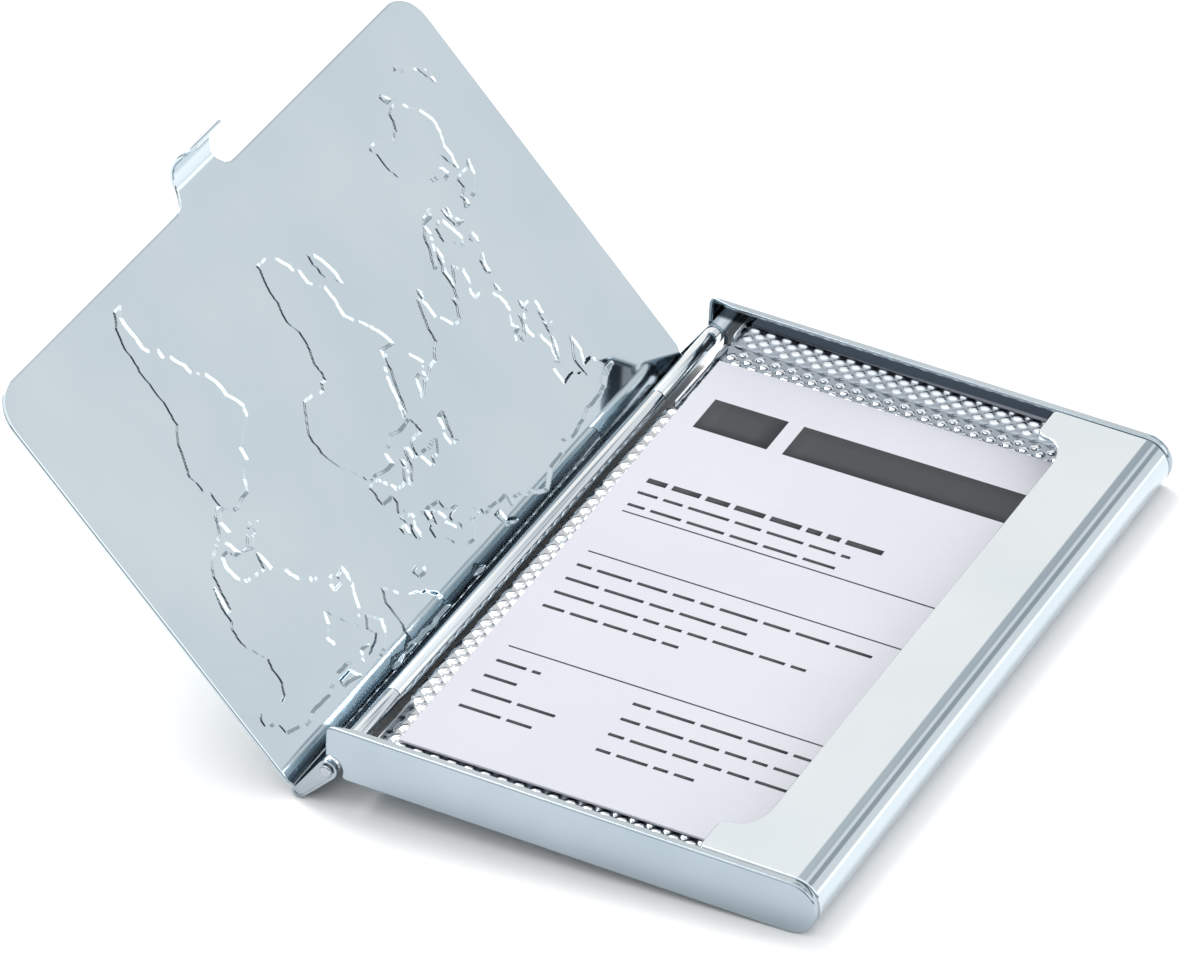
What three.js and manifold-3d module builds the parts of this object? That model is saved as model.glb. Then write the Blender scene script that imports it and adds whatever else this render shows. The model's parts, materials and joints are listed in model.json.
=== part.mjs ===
// Polished steel business card case with its lid open.
//
// Millimetres, +Z up. The case is first built lying flat in its own directions: x runs across it from the
// hinge side to the rounded side, y runs along the hinge, and z is up. It is then tipped the few degrees by
// which the open lid props up its hinge side, and moved so that the origin is the middle of the footprint
// at the height of the table.

import * as THREE from 'three';
import { mergeVertices } from 'three/addons/utils/BufferGeometryUtils.js';
import Module from 'manifold-3d';

const wasm = await Module();
wasm.setup();

// Case body
const CASE_LENGTH = 98;
const CASE_WIDTH = 60.3;
const CASE_HEIGHT = 6.6;
const SHEET = 0.5;
const EDGE_RADIUS = CASE_HEIGHT / 2;
const EDGE_X = CASE_WIDTH - EDGE_RADIUS;
const ARC_SEGMENTS = 16;

// Top lip: wide at both ends, narrow along the finger cut-out between them
const LIP_END_X = 45.4;
const LIP_MIDDLE_X = 49.5;
const LIP_END_LENGTH = 6.9;
const LIP_CORNER = 1.4;
const LIP_SWEEP = 4.6;

// End caps
const CAP_LEFT = 0.2;
const CAP_CORNER = 0.9;
const CAP_DEPTH = 1.1;
const SEAM = 0.12;
const CAP_NOTCH_X = 0.7;
const CAP_NOTCH_Z = 0.9;
const CAP_NOTCH_RADIUS = 1.7;
const CAP_FOOT_X = 2.9;
const CAP_FOOT_Z = 0.35;

// Floor and the dimpled liner on it
const FLOOR_LEFT = 2.25;
const KNUCKLE_NOTCH_X = 3.1;
const KNUCKLE_NOTCH_LENGTH = 15.5;
const LINER_BOTTOM = 0.55;
const LINER_TOP = 0.85;
const LINER_LEFT = 2.5;
const LINER_RIGHT = 56.8;
const LINER_END_GAP = 0.8;
const LINER_FLANGE_X = 3.15;
const LINER_FLANGE_THICKNESS = 0.3;
const LINER_FLANGE_TOP = 1.7;

// Catch ridge pressed out of the rounded side, under the latch tongue
const CATCH_ANGLE = THREE.MathUtils.degToRad(-36);
const CATCH_RADIUS = 0.4;
const CATCH_LENGTH = 2.4;

// Hinge
const PIVOT_X = 0.8;
const PIVOT_Z = 1.05;
const BARREL_RADIUS = 1.1;
const BARREL_BORE = 0.6;
const PIN_RADIUS = 0.48;
const PIN_HEAD_RADIUS = 0.75;
const PIN_HEAD_LENGTH = 0.3;
const PIN_CHAMFER = 0.15;
const KNUCKLE_SEAM = 15.3;
const KNUCKLE_GAP = 0.1;
const BARREL_SEGMENTS = 32;

// Lid, measured from the hinge axis with the case closed
const LID_OPEN_ANGLE = THREE.MathUtils.degToRad(135);
const LID_TOP = 6.25;
const LID_DEPTH = 55;
const LID_OVERHANG = 0.55;
const LID_CORNER = 4.5;
const LID_BEND_RADIUS = 0.8;
const SPINE_X = -1.4;
const SPINE_FOOT = 1.1;

// Hinge ears that close the ends of the lid's spine
const EAR_THICKNESS = 0.35;
const EAR_RING_RADIUS = 1.2;
const EAR_TIP_X = -0.45;
const EAR_TIP_RADIUS = 0.5;
const EAR_PANEL_GAP = 0.2;
const EAR_SEGMENTS = 8;
const EAR_RIM = 0.3;
const EAR_RECESS = 0.12;

// Latch tongue in the middle of the lid's free edge
const TONGUE_WIDTH = 8.8;
const TONGUE_FLARE = 2.4;
const TONGUE_FOOT = 1.05;
const TONGUE_ROOT = 0.5;

// Loose card in the bay
const CARD_WIDTH = 52.8;
const CARD_LENGTH = 85;
const CARD_THICKNESS = 0.3;
const CARD_BOTTOM = 1.1;
const CARD_CORNER_X = 5.3;
const CARD_CORNER_Y = 8.1;
const CARD_TURN = THREE.MathUtils.degToRad(0.9);

// How far a cutting solid reaches past the piece it cuts
const OVERCUT = 1;
const RIGHT_ANGLE = Math.PI / 2;

// ---------------------------------------------------------------- solids

function toSolid(geometry) {
  const bare = geometry.clone();
  bare.deleteAttribute('normal');
  bare.deleteAttribute('uv');
  const merged = mergeVertices(bare, 1e-4);
  return new wasm.Manifold(new wasm.Mesh({
    numProp: 3,
    vertProperties: new Float32Array(merged.attributes.position.array),
    triVerts: new Uint32Array(merged.index.array),
  }));
}

function toGeometry(solid) {
  const mesh = solid.getMesh();
  const geometry = new THREE.BufferGeometry();
  geometry.setAttribute('position', new THREE.BufferAttribute(mesh.vertProperties, 3));
  geometry.setIndex(new THREE.BufferAttribute(mesh.triVerts, 1));
  geometry.computeVertexNormals();
  return geometry;
}

// Solid with its outline in x and z, reaching from yLow to yHigh
function alongY(shape, yLow, yHigh, segments = ARC_SEGMENTS) {
  const geometry = new THREE.ExtrudeGeometry(shape, {
    depth: yHigh - yLow,
    bevelEnabled: false,
    curveSegments: segments,
  });
  geometry.rotateX(RIGHT_ANGLE);
  geometry.translate(0, yHigh, 0);
  return toSolid(geometry);
}

// Solid with its outline in x and y, reaching from zLow to zHigh
function alongZ(shape, zLow, zHigh) {
  const geometry = new THREE.ExtrudeGeometry(shape, {
    depth: zHigh - zLow,
    bevelEnabled: false,
    curveSegments: ARC_SEGMENTS,
  });
  geometry.translate(0, 0, zLow);
  return toSolid(geometry);
}

function block(xLow, xHigh, yLow, yHigh, zLow, zHigh) {
  const geometry = new THREE.BoxGeometry(xHigh - xLow, yHigh - yLow, zHigh - zLow);
  geometry.translate((xLow + xHigh) / 2, (yLow + yHigh) / 2, (zLow + zHigh) / 2);
  return toSolid(geometry);
}

function disc(x, z, radius) {
  const shape = new THREE.Shape();
  shape.absarc(x, z, radius, 0, 2 * Math.PI, false);
  return shape;
}

// ---------------------------------------------------------------- case body

// Cross-section of the bent sheet: floor, fully rounded side and top lip
function shellProfile() {
  const inner = EDGE_RADIUS - SHEET;
  const shape = new THREE.Shape();
  shape.moveTo(FLOOR_LEFT, 0);
  shape.lineTo(EDGE_X, 0);
  shape.absarc(EDGE_X, EDGE_RADIUS, EDGE_RADIUS, -RIGHT_ANGLE, RIGHT_ANGLE, false);
  shape.lineTo(LIP_END_X, CASE_HEIGHT);
  shape.lineTo(LIP_END_X, CASE_HEIGHT - SHEET);
  shape.lineTo(EDGE_X, CASE_HEIGHT - SHEET);
  shape.absarc(EDGE_X, EDGE_RADIUS, inner, RIGHT_ANGLE, -RIGHT_ANGLE, true);
  shape.lineTo(FLOOR_LEFT, SHEET);
  return shape;
}

// Outline of the finger cut-out, with a round corner and a long sweep at each end
function fingerCutout() {
  const outside = LIP_END_X - OVERCUT;
  const cornerX = LIP_END_X + LIP_CORNER;
  const sweepWidth = LIP_MIDDLE_X - cornerX;
  const nearEnd = LIP_END_LENGTH;
  const farEnd = CASE_LENGTH - LIP_END_LENGTH;
  const shape = new THREE.Shape();
  shape.moveTo(outside, nearEnd - LIP_CORNER);
  shape.lineTo(LIP_END_X, nearEnd - LIP_CORNER);
  shape.absarc(cornerX, nearEnd - LIP_CORNER, LIP_CORNER, Math.PI, RIGHT_ANGLE, true);
  shape.absellipse(cornerX, nearEnd + LIP_SWEEP, sweepWidth, LIP_SWEEP, -RIGHT_ANGLE, 0, false);
  shape.lineTo(LIP_MIDDLE_X, farEnd - LIP_SWEEP);
  shape.absellipse(cornerX, farEnd - LIP_SWEEP, sweepWidth, LIP_SWEEP, 0, RIGHT_ANGLE, false);
  shape.absarc(cornerX, farEnd + LIP_CORNER, LIP_CORNER, -RIGHT_ANGLE, Math.PI, true);
  shape.lineTo(outside, farEnd + LIP_CORNER);
  return shape;
}

function bodyShell() {
  const start = CAP_DEPTH + SEAM;
  const end = CASE_LENGTH - start;
  const aboveFloor = 2 * SHEET;
  const ridge = disc(
    EDGE_X + Math.cos(CATCH_ANGLE) * (EDGE_RADIUS - CATCH_RADIUS / 2),
    EDGE_RADIUS + Math.sin(CATCH_ANGLE) * (EDGE_RADIUS - CATCH_RADIUS / 2),
    CATCH_RADIUS,
  );
  const middle = CASE_LENGTH / 2;
  const notchLow = KNUCKLE_NOTCH_LENGTH;
  const notchHigh = CASE_LENGTH - KNUCKLE_NOTCH_LENGTH;
  return alongY(shellProfile(), start, end)
    .subtract(alongZ(fingerCutout(), CASE_HEIGHT - aboveFloor, CASE_HEIGHT + OVERCUT))
    .subtract(block(0, KNUCKLE_NOTCH_X, 0, notchLow, -OVERCUT, aboveFloor))
    .subtract(block(0, KNUCKLE_NOTCH_X, notchHigh, CASE_LENGTH, -OVERCUT, aboveFloor))
    .add(alongY(ridge, middle - CATCH_LENGTH / 2, middle + CATCH_LENGTH / 2));
}

// Outline of an end cap, cut back in a round bay so that the hinge can turn past it
function capOutline() {
  const notchTop = Math.acos((CAP_LEFT - CAP_NOTCH_X) / CAP_NOTCH_RADIUS);
  const notchFoot = Math.asin((CAP_FOOT_Z - CAP_NOTCH_Z) / CAP_NOTCH_RADIUS);
  const notchFootX = CAP_NOTCH_X + CAP_NOTCH_RADIUS * Math.cos(notchFoot);
  const shape = new THREE.Shape();
  shape.moveTo(CAP_FOOT_X, 0);
  shape.lineTo(EDGE_X, 0);
  shape.absarc(EDGE_X, EDGE_RADIUS, EDGE_RADIUS, -RIGHT_ANGLE, RIGHT_ANGLE, false);
  shape.lineTo(CAP_LEFT + CAP_CORNER, CASE_HEIGHT);
  shape.absarc(CAP_LEFT + CAP_CORNER, CASE_HEIGHT - CAP_CORNER, CAP_CORNER, RIGHT_ANGLE, Math.PI, false);
  shape.absarc(CAP_NOTCH_X, CAP_NOTCH_Z, CAP_NOTCH_RADIUS, notchTop, notchFoot, true);
  shape.quadraticCurveTo(notchFootX, 0, CAP_FOOT_X, 0);
  return shape;
}

// Hollow of an end cap behind its face, open towards the hinge side
function capHollow() {
  const shape = new THREE.Shape();
  shape.moveTo(-OVERCUT, SHEET);
  shape.lineTo(EDGE_X, SHEET);
  shape.absarc(EDGE_X, EDGE_RADIUS, EDGE_RADIUS - SHEET, -RIGHT_ANGLE, RIGHT_ANGLE, false);
  shape.lineTo(-OVERCUT, CASE_HEIGHT - SHEET);
  return shape;
}

function frontEndCap() {
  return alongY(capOutline(), 0, CAP_DEPTH).subtract(alongY(capHollow(), SHEET, CAP_DEPTH + OVERCUT));
}

function farEndCap() {
  const outer = CASE_LENGTH;
  return alongY(capOutline(), outer - CAP_DEPTH, outer)
    .subtract(alongY(capHollow(), outer - CAP_DEPTH - OVERCUT, outer - SHEET));
}

// Inner floor plate. Beside the end knuckles it is cut back, and its edge there is turned up.
function floorLiner() {
  const end = CASE_LENGTH - LINER_END_GAP;
  const flangeX = LINER_FLANGE_X + LINER_FLANGE_THICKNESS;
  const flangeStart = CAP_DEPTH + SEAM;
  const notchLow = KNUCKLE_NOTCH_LENGTH;
  const notchHigh = CASE_LENGTH - KNUCKLE_NOTCH_LENGTH;
  let liner = block(LINER_LEFT, LINER_RIGHT, LINER_END_GAP, end, LINER_BOTTOM, LINER_TOP);
  for (const [low, high] of [[0, notchLow], [notchHigh, CASE_LENGTH]]) {
    liner = liner.subtract(block(0, LINER_FLANGE_X, low, high, 0, LINER_FLANGE_TOP));
  }
  for (const [low, high] of [[flangeStart, notchLow], [notchHigh, CASE_LENGTH - flangeStart]]) {
    liner = liner.add(block(LINER_FLANGE_X, flangeX, low, high, LINER_BOTTOM, LINER_FLANGE_TOP));
  }
  return liner;
}

// ---------------------------------------------------------------- hinge

// A piece of the hinge tube, around the hinge axis
function knuckle(yLow, yHigh, x, z) {
  const ring = disc(x, z, BARREL_RADIUS);
  const bore = new THREE.Path();
  bore.absarc(x, z, BARREL_BORE, 0, 2 * Math.PI, true);
  ring.holes.push(bore);
  return alongY(ring, yLow, yHigh, BARREL_SEGMENTS);
}

// The pin and the two heads that are riveted over the ears
function hingePin() {
  const shaftEnd = LID_OVERHANG + SEAM;
  const tip = shaftEnd + PIN_HEAD_LENGTH;
  const profile = [
    [0, -tip],
    [PIN_HEAD_RADIUS - PIN_CHAMFER, -tip],
    [PIN_HEAD_RADIUS, -tip + PIN_CHAMFER],
    [PIN_HEAD_RADIUS, -shaftEnd],
    [PIN_RADIUS, -shaftEnd],
    [PIN_RADIUS, CASE_LENGTH + shaftEnd],
    [PIN_HEAD_RADIUS, CASE_LENGTH + shaftEnd],
    [PIN_HEAD_RADIUS, CASE_LENGTH + tip - PIN_CHAMFER],
    [PIN_HEAD_RADIUS - PIN_CHAMFER, CASE_LENGTH + tip],
    [0, CASE_LENGTH + tip],
  ];
  const points = profile.map(([radius, along]) => new THREE.Vector2(radius, along));
  return new THREE.LatheGeometry(points, BARREL_SEGMENTS);
}

// ---------------------------------------------------------------- lid

// Cross-section of the lid: a flat panel bent down into the spine at the hinge side
function lidProfile() {
  const inner = LID_BEND_RADIUS - SHEET;
  const bendX = SPINE_X + LID_BEND_RADIUS;
  const bendZ = LID_TOP - LID_BEND_RADIUS;
  const shape = new THREE.Shape();
  shape.moveTo(SPINE_X, SPINE_FOOT);
  shape.lineTo(SPINE_X + SHEET, SPINE_FOOT);
  shape.absarc(bendX, bendZ, inner, Math.PI, RIGHT_ANGLE, true);
  shape.lineTo(LID_DEPTH, LID_TOP - SHEET);
  shape.lineTo(LID_DEPTH, LID_TOP);
  shape.absarc(bendX, bendZ, LID_BEND_RADIUS, RIGHT_ANGLE, Math.PI, false);
  return shape;
}

// Lid outline seen from above, with two round free corners
function lidPlan() {
  const low = -LID_OVERHANG;
  const high = CASE_LENGTH + LID_OVERHANG;
  const cornerX = LID_DEPTH - LID_CORNER;
  const shape = new THREE.Shape();
  shape.moveTo(SPINE_X - OVERCUT, low);
  shape.lineTo(cornerX, low);
  shape.absarc(cornerX, low + LID_CORNER, LID_CORNER, -RIGHT_ANGLE, 0, false);
  shape.absarc(cornerX, high - LID_CORNER, LID_CORNER, 0, RIGHT_ANGLE, false);
  shape.lineTo(SPINE_X - OVERCUT, high);
  return shape;
}

// Cross-section of the latch tongue, which follows the rounded side of the case and hangs straight down
function tongueProfile() {
  const centreX = EDGE_X - PIVOT_X;
  const centreZ = EDGE_RADIUS - PIVOT_Z;
  const inner = LID_TOP - SHEET - centreZ;
  const outer = LID_TOP - centreZ;
  const rootX = LID_DEPTH - TONGUE_ROOT;
  const shape = new THREE.Shape();
  shape.moveTo(rootX, LID_TOP - SHEET);
  shape.absarc(centreX, centreZ, inner, RIGHT_ANGLE, 0, true);
  shape.lineTo(centreX + inner, TONGUE_FOOT);
  shape.lineTo(centreX + outer, TONGUE_FOOT);
  shape.absarc(centreX, centreZ, outer, 0, RIGHT_ANGLE, false);
  shape.lineTo(rootX, LID_TOP);
  return shape;
}

// Latch tongue seen from above, flared where it joins the lid
function tonguePlan() {
  const low = (CASE_LENGTH - TONGUE_WIDTH) / 2;
  const high = (CASE_LENGTH + TONGUE_WIDTH) / 2;
  const rootX = LID_DEPTH - TONGUE_ROOT;
  const flareX = LID_DEPTH + TONGUE_FLARE;
  const tipX = LID_DEPTH + 2 * EDGE_RADIUS;
  const shape = new THREE.Shape();
  shape.moveTo(rootX, low - TONGUE_FLARE);
  shape.lineTo(LID_DEPTH, low - TONGUE_FLARE);
  shape.absarc(flareX, low - TONGUE_FLARE, TONGUE_FLARE, Math.PI, RIGHT_ANGLE, true);
  shape.lineTo(tipX, low);
  shape.lineTo(tipX, high);
  shape.absarc(flareX, high + TONGUE_FLARE, TONGUE_FLARE, -RIGHT_ANGLE, Math.PI, true);
  shape.lineTo(rootX, high + TONGUE_FLARE);
  return shape;
}

function lidShell() {
  const low = -LID_OVERHANG;
  const high = CASE_LENGTH + LID_OVERHANG;
  const tongueReach = TONGUE_WIDTH / 2 + TONGUE_FLARE;
  const middle = CASE_LENGTH / 2;
  const panel = alongY(lidProfile(), low + EAR_THICKNESS + SEAM, high - EAR_THICKNESS - SEAM)
    .add(alongY(panelStrip(), low, high));
  return panel
    .intersect(alongZ(lidPlan(), -OVERCUT, LID_TOP + OVERCUT))
    .add(alongY(tongueProfile(), middle - tongueReach, middle + tongueReach)
      .intersect(alongZ(tonguePlan(), -OVERCUT, LID_TOP + OVERCUT)));
}

// The part of the lid panel that passes over the ears
function panelStrip() {
  const start = EAR_TIP_X + EAR_TIP_RADIUS + EAR_PANEL_GAP;
  const shape = new THREE.Shape();
  shape.moveTo(start, LID_TOP - SHEET);
  shape.lineTo(LID_DEPTH, LID_TOP - SHEET);
  shape.lineTo(LID_DEPTH, LID_TOP);
  shape.lineTo(start, LID_TOP);
  return shape;
}

// Ear outline: a ring around the hinge axis that tapers up to the lid's bend. A positive inset draws the
// same outline that much smaller all round.
function earOutline(inset) {
  const ring = EAR_RING_RADIUS - inset;
  const tip = EAR_TIP_RADIUS - inset;
  const bend = LID_BEND_RADIUS - inset;
  const tipZ = LID_TOP - EAR_TIP_RADIUS;
  const bendX = SPINE_X + LID_BEND_RADIUS;
  const bendZ = LID_TOP - LID_BEND_RADIUS;
  const towardsRing = Math.atan2(-tipZ, -EAR_TIP_X);
  const taper = towardsRing + Math.acos((tip - ring) / Math.hypot(EAR_TIP_X, tipZ));
  const shape = new THREE.Shape();
  shape.absarc(0, 0, ring, taper, Math.PI, true);
  shape.absarc(bendX, bendZ, bend, Math.PI, RIGHT_ANGLE, true);
  shape.absarc(EAR_TIP_X, tipZ, tip, RIGHT_ANGLE, taper, true);
  return shape;
}

// An ear reaches from yLow to yHigh, with its recess on the outside
function ear(yLow, yHigh, recessLow, recessHigh) {
  return alongY(earOutline(0), yLow, yHigh, EAR_SEGMENTS)
    .subtract(alongY(earOutline(EAR_RIM), recessLow, recessHigh, EAR_SEGMENTS))
    .subtract(alongY(disc(0, 0, BARREL_BORE), yLow - OVERCUT, yHigh + OVERCUT));
}

function frontEar() {
  const outer = -LID_OVERHANG;
  return ear(outer, outer + EAR_THICKNESS, outer - OVERCUT, outer + EAR_RECESS);
}

function farEar() {
  const outer = CASE_LENGTH + LID_OVERHANG;
  return ear(outer - EAR_THICKNESS, outer, outer - EAR_RECESS, outer + OVERCUT);
}

// ---------------------------------------------------------------- assembly

// Lean of the case on a flat table: the line that touches the rounded side of the body and the bend of
// the open lid from below
function restingTilt() {
  const bendX = SPINE_X + LID_BEND_RADIUS;
  const bendZ = LID_TOP - LID_BEND_RADIUS;
  const openX = PIVOT_X + bendX * Math.cos(LID_OPEN_ANGLE) - bendZ * Math.sin(LID_OPEN_ANGLE);
  const openZ = PIVOT_Z + bendX * Math.sin(LID_OPEN_ANGLE) + bendZ * Math.cos(LID_OPEN_ANGLE);
  const across = EDGE_X - openX;
  const up = EDGE_RADIUS - openZ;
  return Math.atan2(up, across) - Math.asin((EDGE_RADIUS - LID_BEND_RADIUS) / Math.hypot(across, up));
}

function steel(colour, roughness) {
  return new THREE.MeshStandardMaterial({ color: colour, roughness, metalness: 1 });
}

function addPiece(group, name, geometry, material) {
  const mesh = new THREE.Mesh(geometry, material);
  mesh.name = name;
  group.add(mesh);
  return mesh;
}

function addSolid(group, name, solid, material) {
  return addPiece(group, name, toGeometry(solid), material);
}

const caseBody = new THREE.Group();
caseBody.rotation.y = restingTilt();
addSolid(caseBody, 'body_shell', bodyShell(), steel(0xe2e7ea, 0.08));
addSolid(caseBody, 'front_end_cap', frontEndCap(), steel(0xb4c0c8, 0.1));
addSolid(caseBody, 'far_end_cap', farEndCap(), steel(0xb4c0c8, 0.1));
addSolid(caseBody, 'floor_liner', floorLiner(), steel(0xcfd6da, 0.15));
addSolid(
  caseBody,
  'middle_knuckle',
  knuckle(KNUCKLE_SEAM, CASE_LENGTH - KNUCKLE_SEAM, PIVOT_X, PIVOT_Z),
  steel(0xdfe5e8, 0.06),
);
addPiece(caseBody, 'hinge_pin', hingePin(), steel(0xc4ccd1, 0.2)).position.set(PIVOT_X, 0, PIVOT_Z);

const card = new THREE.Group();
card.position.set(CARD_CORNER_X, CARD_CORNER_Y, CARD_BOTTOM);
card.rotation.z = CARD_TURN;
addSolid(
  card,
  'card',
  block(0, CARD_WIDTH, 0, CARD_LENGTH, 0, CARD_THICKNESS),
  new THREE.MeshStandardMaterial({ color: 0xecedf6, roughness: 0.6, metalness: 0 }),
);
caseBody.add(card);

const lid = new THREE.Group();
lid.position.set(PIVOT_X, 0, PIVOT_Z);
lid.rotation.y = -LID_OPEN_ANGLE;
addSolid(lid, 'lid_shell', lidShell(), steel(0xc8d3dc, 0.08));
addSolid(lid, 'front_ear', frontEar(), steel(0xc4ccd1, 0.12));
addSolid(lid, 'far_ear', farEar(), steel(0xc4ccd1, 0.12));
const knuckleStart = KNUCKLE_GAP - LID_OVERHANG + EAR_THICKNESS;
const knuckleEnd = KNUCKLE_SEAM - KNUCKLE_GAP;
addSolid(lid, 'front_knuckle', knuckle(knuckleStart, knuckleEnd, 0, 0), steel(0xdfe5e8, 0.06));
addSolid(
  lid,
  'far_knuckle',
  knuckle(CASE_LENGTH - knuckleEnd, CASE_LENGTH - knuckleStart, 0, 0),
  steel(0xdfe5e8, 0.06),
);
caseBody.add(lid);

const cardCase = new THREE.Group();
cardCase.add(caseBody);
cardCase.updateMatrixWorld(true);
const bounds = new THREE.Box3().setFromObject(cardCase, true);
caseBody.position.set(
  -(bounds.min.x + bounds.max.x) / 2,
  -(bounds.min.y + bounds.max.y) / 2,
  -bounds.min.z,
);

export default cardCase;
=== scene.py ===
"""Visual model of an open polished steel business card case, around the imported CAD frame.

Shapes are worked out in millimetres, in two sets of directions. The case body has x across it from the
hinge side, y along the hinge from the front end, and z up. The lid has the same directions as if it were
closed, measured from the hinge axis. Both are then placed in metres by the frame's own hinge and mount.
"""

import json
import math
import random

import bpy
import numpy as np
from mathutils import Matrix, Quaternion, Vector


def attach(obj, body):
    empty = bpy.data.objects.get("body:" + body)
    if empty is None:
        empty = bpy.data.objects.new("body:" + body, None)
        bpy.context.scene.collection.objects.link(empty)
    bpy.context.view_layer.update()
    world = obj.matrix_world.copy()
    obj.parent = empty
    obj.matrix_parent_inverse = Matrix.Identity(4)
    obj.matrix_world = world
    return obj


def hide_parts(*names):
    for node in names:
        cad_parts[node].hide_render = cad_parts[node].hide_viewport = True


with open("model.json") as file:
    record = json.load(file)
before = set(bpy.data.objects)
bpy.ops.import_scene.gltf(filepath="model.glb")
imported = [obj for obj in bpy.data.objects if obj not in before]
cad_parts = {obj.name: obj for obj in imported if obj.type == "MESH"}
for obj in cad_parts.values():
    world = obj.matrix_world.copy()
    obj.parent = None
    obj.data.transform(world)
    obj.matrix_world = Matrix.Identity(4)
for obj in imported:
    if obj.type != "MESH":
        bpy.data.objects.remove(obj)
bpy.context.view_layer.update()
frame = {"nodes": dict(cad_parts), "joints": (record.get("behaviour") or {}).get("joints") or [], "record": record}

MM = 0.001

# Case body
CASE_LENGTH = 98.0
MIDDLE = CASE_LENGTH / 2
CASE_HEIGHT = 6.6
SHEET = 0.5
SIDE_RADIUS = CASE_HEIGHT / 2
SIDE_X = 57.0
FLOOR_LEFT = 2.25
CAP_DEPTH = 1.1
SEAM = 0.12
KNUCKLE_NOTCH_X = 3.1
KNUCKLE_NOTCH_LENGTH = 15.5

# Lip over the card's edge
LIP_END_X = 45.4
LIP_MIDDLE_X = 49.5
LIP_END_LENGTH = 6.9
LIP_CORNER = 1.4
LIP_SWEEP = 4.6

# Catch ridge on the rounded side
CATCH_ANGLE = math.radians(-36)
CATCH_HALF_LENGTH = 1.1
CATCH_HALF_WIDTH = 0.45
CATCH_HEIGHT = 0.18

# End caps
CAP_LEFT = 0.2
CAP_CORNER = 0.9
CAP_EDGE_ROUND = 0.25
CAP_INSIDE_ROUND = 0.1
CAP_FLANGE_ROUND = 0.08
CAP_NOTCH_X = 0.7
CAP_NOTCH_Z = 0.9
CAP_NOTCH_RADIUS = 1.7
CAP_FOOT_X = 2.9
CAP_FOOT_Z = 0.35
CAP_SIDE_STEPS = 24
CAP_ARC_STEPS = 40
CAP_CORNER_STEPS = 8
CAP_NOTCH_STEPS = 16
CAP_ROUND_STEPS = 6
CAP_TOE_PART = 0.25
CAP_TOE_RISE = 0.4
# Painted shade on the wall inside the case, a dark band in place of its dark reflection: the height over the
# case's bottom where it starts, and the width of its fade, in millimetres
WALL_SHADE_FROM = 4.0
WALL_SHADE_FADE = 0.5

# Hinge axis in the case body's directions
PIVOT_X = 0.8
PIVOT_Z = 1.05

# Lid
LID_OPEN_ANGLE = math.radians(135)
LID_TOP = 6.25
LID_DEPTH = 55.0
LID_OVERHANG = 0.55
LID_CORNER = 4.5
LID_BEND_RADIUS = 0.8
SPINE_X = -1.4
SPINE_FOOT = 1.1
EAR_ROOM = 0.47
EAR_REACH = 0.3
TONGUE_HALF_WIDTH = 4.4
TONGUE_FLARE = 2.4
TONGUE_FOOT = 1.05
TONGUE_TIP_CORNER = 0.9
DETENT_HALF_LENGTH = 1.5
DETENT_HALF_WIDTH = 0.5
DETENT_HEIGHT = 0.2
DETENT_ABOVE_FOOT = 1.25

# Map relief pressed into the lid: its height, and the width of its sloped coasts
RELIEF_HEIGHT = 0.11
RELIEF_WIDTH = 0.6
MAP_EQUATOR_X = 31.0
MAP_LATITUDE_STEP = 0.385
MAP_MERIDIAN_Y = 42.3
MAP_LONGITUDE_STEP = 0.31
MAP_POLE_SQUEEZE = 0.45
MAP_NORTH_LIMIT = 0.7
COAST_WOBBLE = 0.06
COAST_SEED = 7

# Dimpled floor liner
LINER_BOTTOM = 0.55
LINER_TOP = 0.8
LINER_EDGE_GAP = 0.55
LINER_LEFT = 2.48
LINER_RIGHT = 56.8
DIMPLE_PITCH = 2.1062
DIMPLE_FIRST_X = 3.55
DIMPLE_COLUMNS = 25
DIMPLE_ROWS = 46
DIMPLE_RADIUS = 0.69
DIMPLE_TOP_RADIUS = 0.5
DIMPLE_TOP_CROWN = 0.03
DIMPLE_HEIGHT = 0.2
DIMPLE_SIDE_STEPS = 3
FLANGE_X = 3.3
FLANGE_TOP = 1.7
FLANGE_HALF_THICKNESS = 0.13
FLANGE_CORNER_STEPS = 8
FLANGE_RIM_STEPS = 6

# Card
CARD_WIDTH = 52.8
CARD_LENGTH = 85.0
CARD_THICKNESS = 0.3
CARD_BOTTOM = 1.1
CARD_CORNER = (5.3, 8.1)
CARD_TURN = math.radians(0.9)
CARD_BOW = 0.06
INK_LIFT = 0.012
INK_THICKNESS = 0.01

# Plain marks in place of the print: first x, last x, middle y, and height
PRINT_BARS = [
    (3.0, 12.5, 74.2, 6.4),
    (14.5, 52.0, 74.2, 6.4),
]
PRINT_RULES = [(3.0, 52.0, y, 0.22) for y in (51.7, 42.6, 21.7)]
# Rows of these are broken into bars as long as words
PRINT_LINES = [
    (3.0, 34.0, 58.6, 0.95),
    (3.0, 30.0, 55.9, 0.5),
    (3.0, 30.0, 53.2, 0.5),
    (3.0, 40.0, 39.6, 0.5),
    (3.0, 27.0, 36.6, 0.5),
    (3.0, 34.5, 33.6, 0.5),
    (3.0, 20.0, 30.6, 0.5),
    (3.0, 8.5, 18.6, 0.5),
    (3.0, 8.5, 15.4, 0.5),
    (3.0, 14.0, 12.2, 0.5),
    (3.0, 12.0, 9.0, 0.5),
    (20.0, 46.0, 18.6, 0.5),
    (20.0, 46.0, 15.4, 0.5),
    (20.0, 46.0, 12.2, 0.5),
    (20.0, 32.0, 9.0, 0.5),
]
WORD_LENGTHS = (1.6, 5.2)
WORD_GAP = 0.75
PRINT_SEED = 3
PRINT_SPACING = 3.0
CARD_SPACING = 2.0
CARD_EDGE_ROUND = 0.05

# ---------------------------------------------------------------- placing

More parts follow.
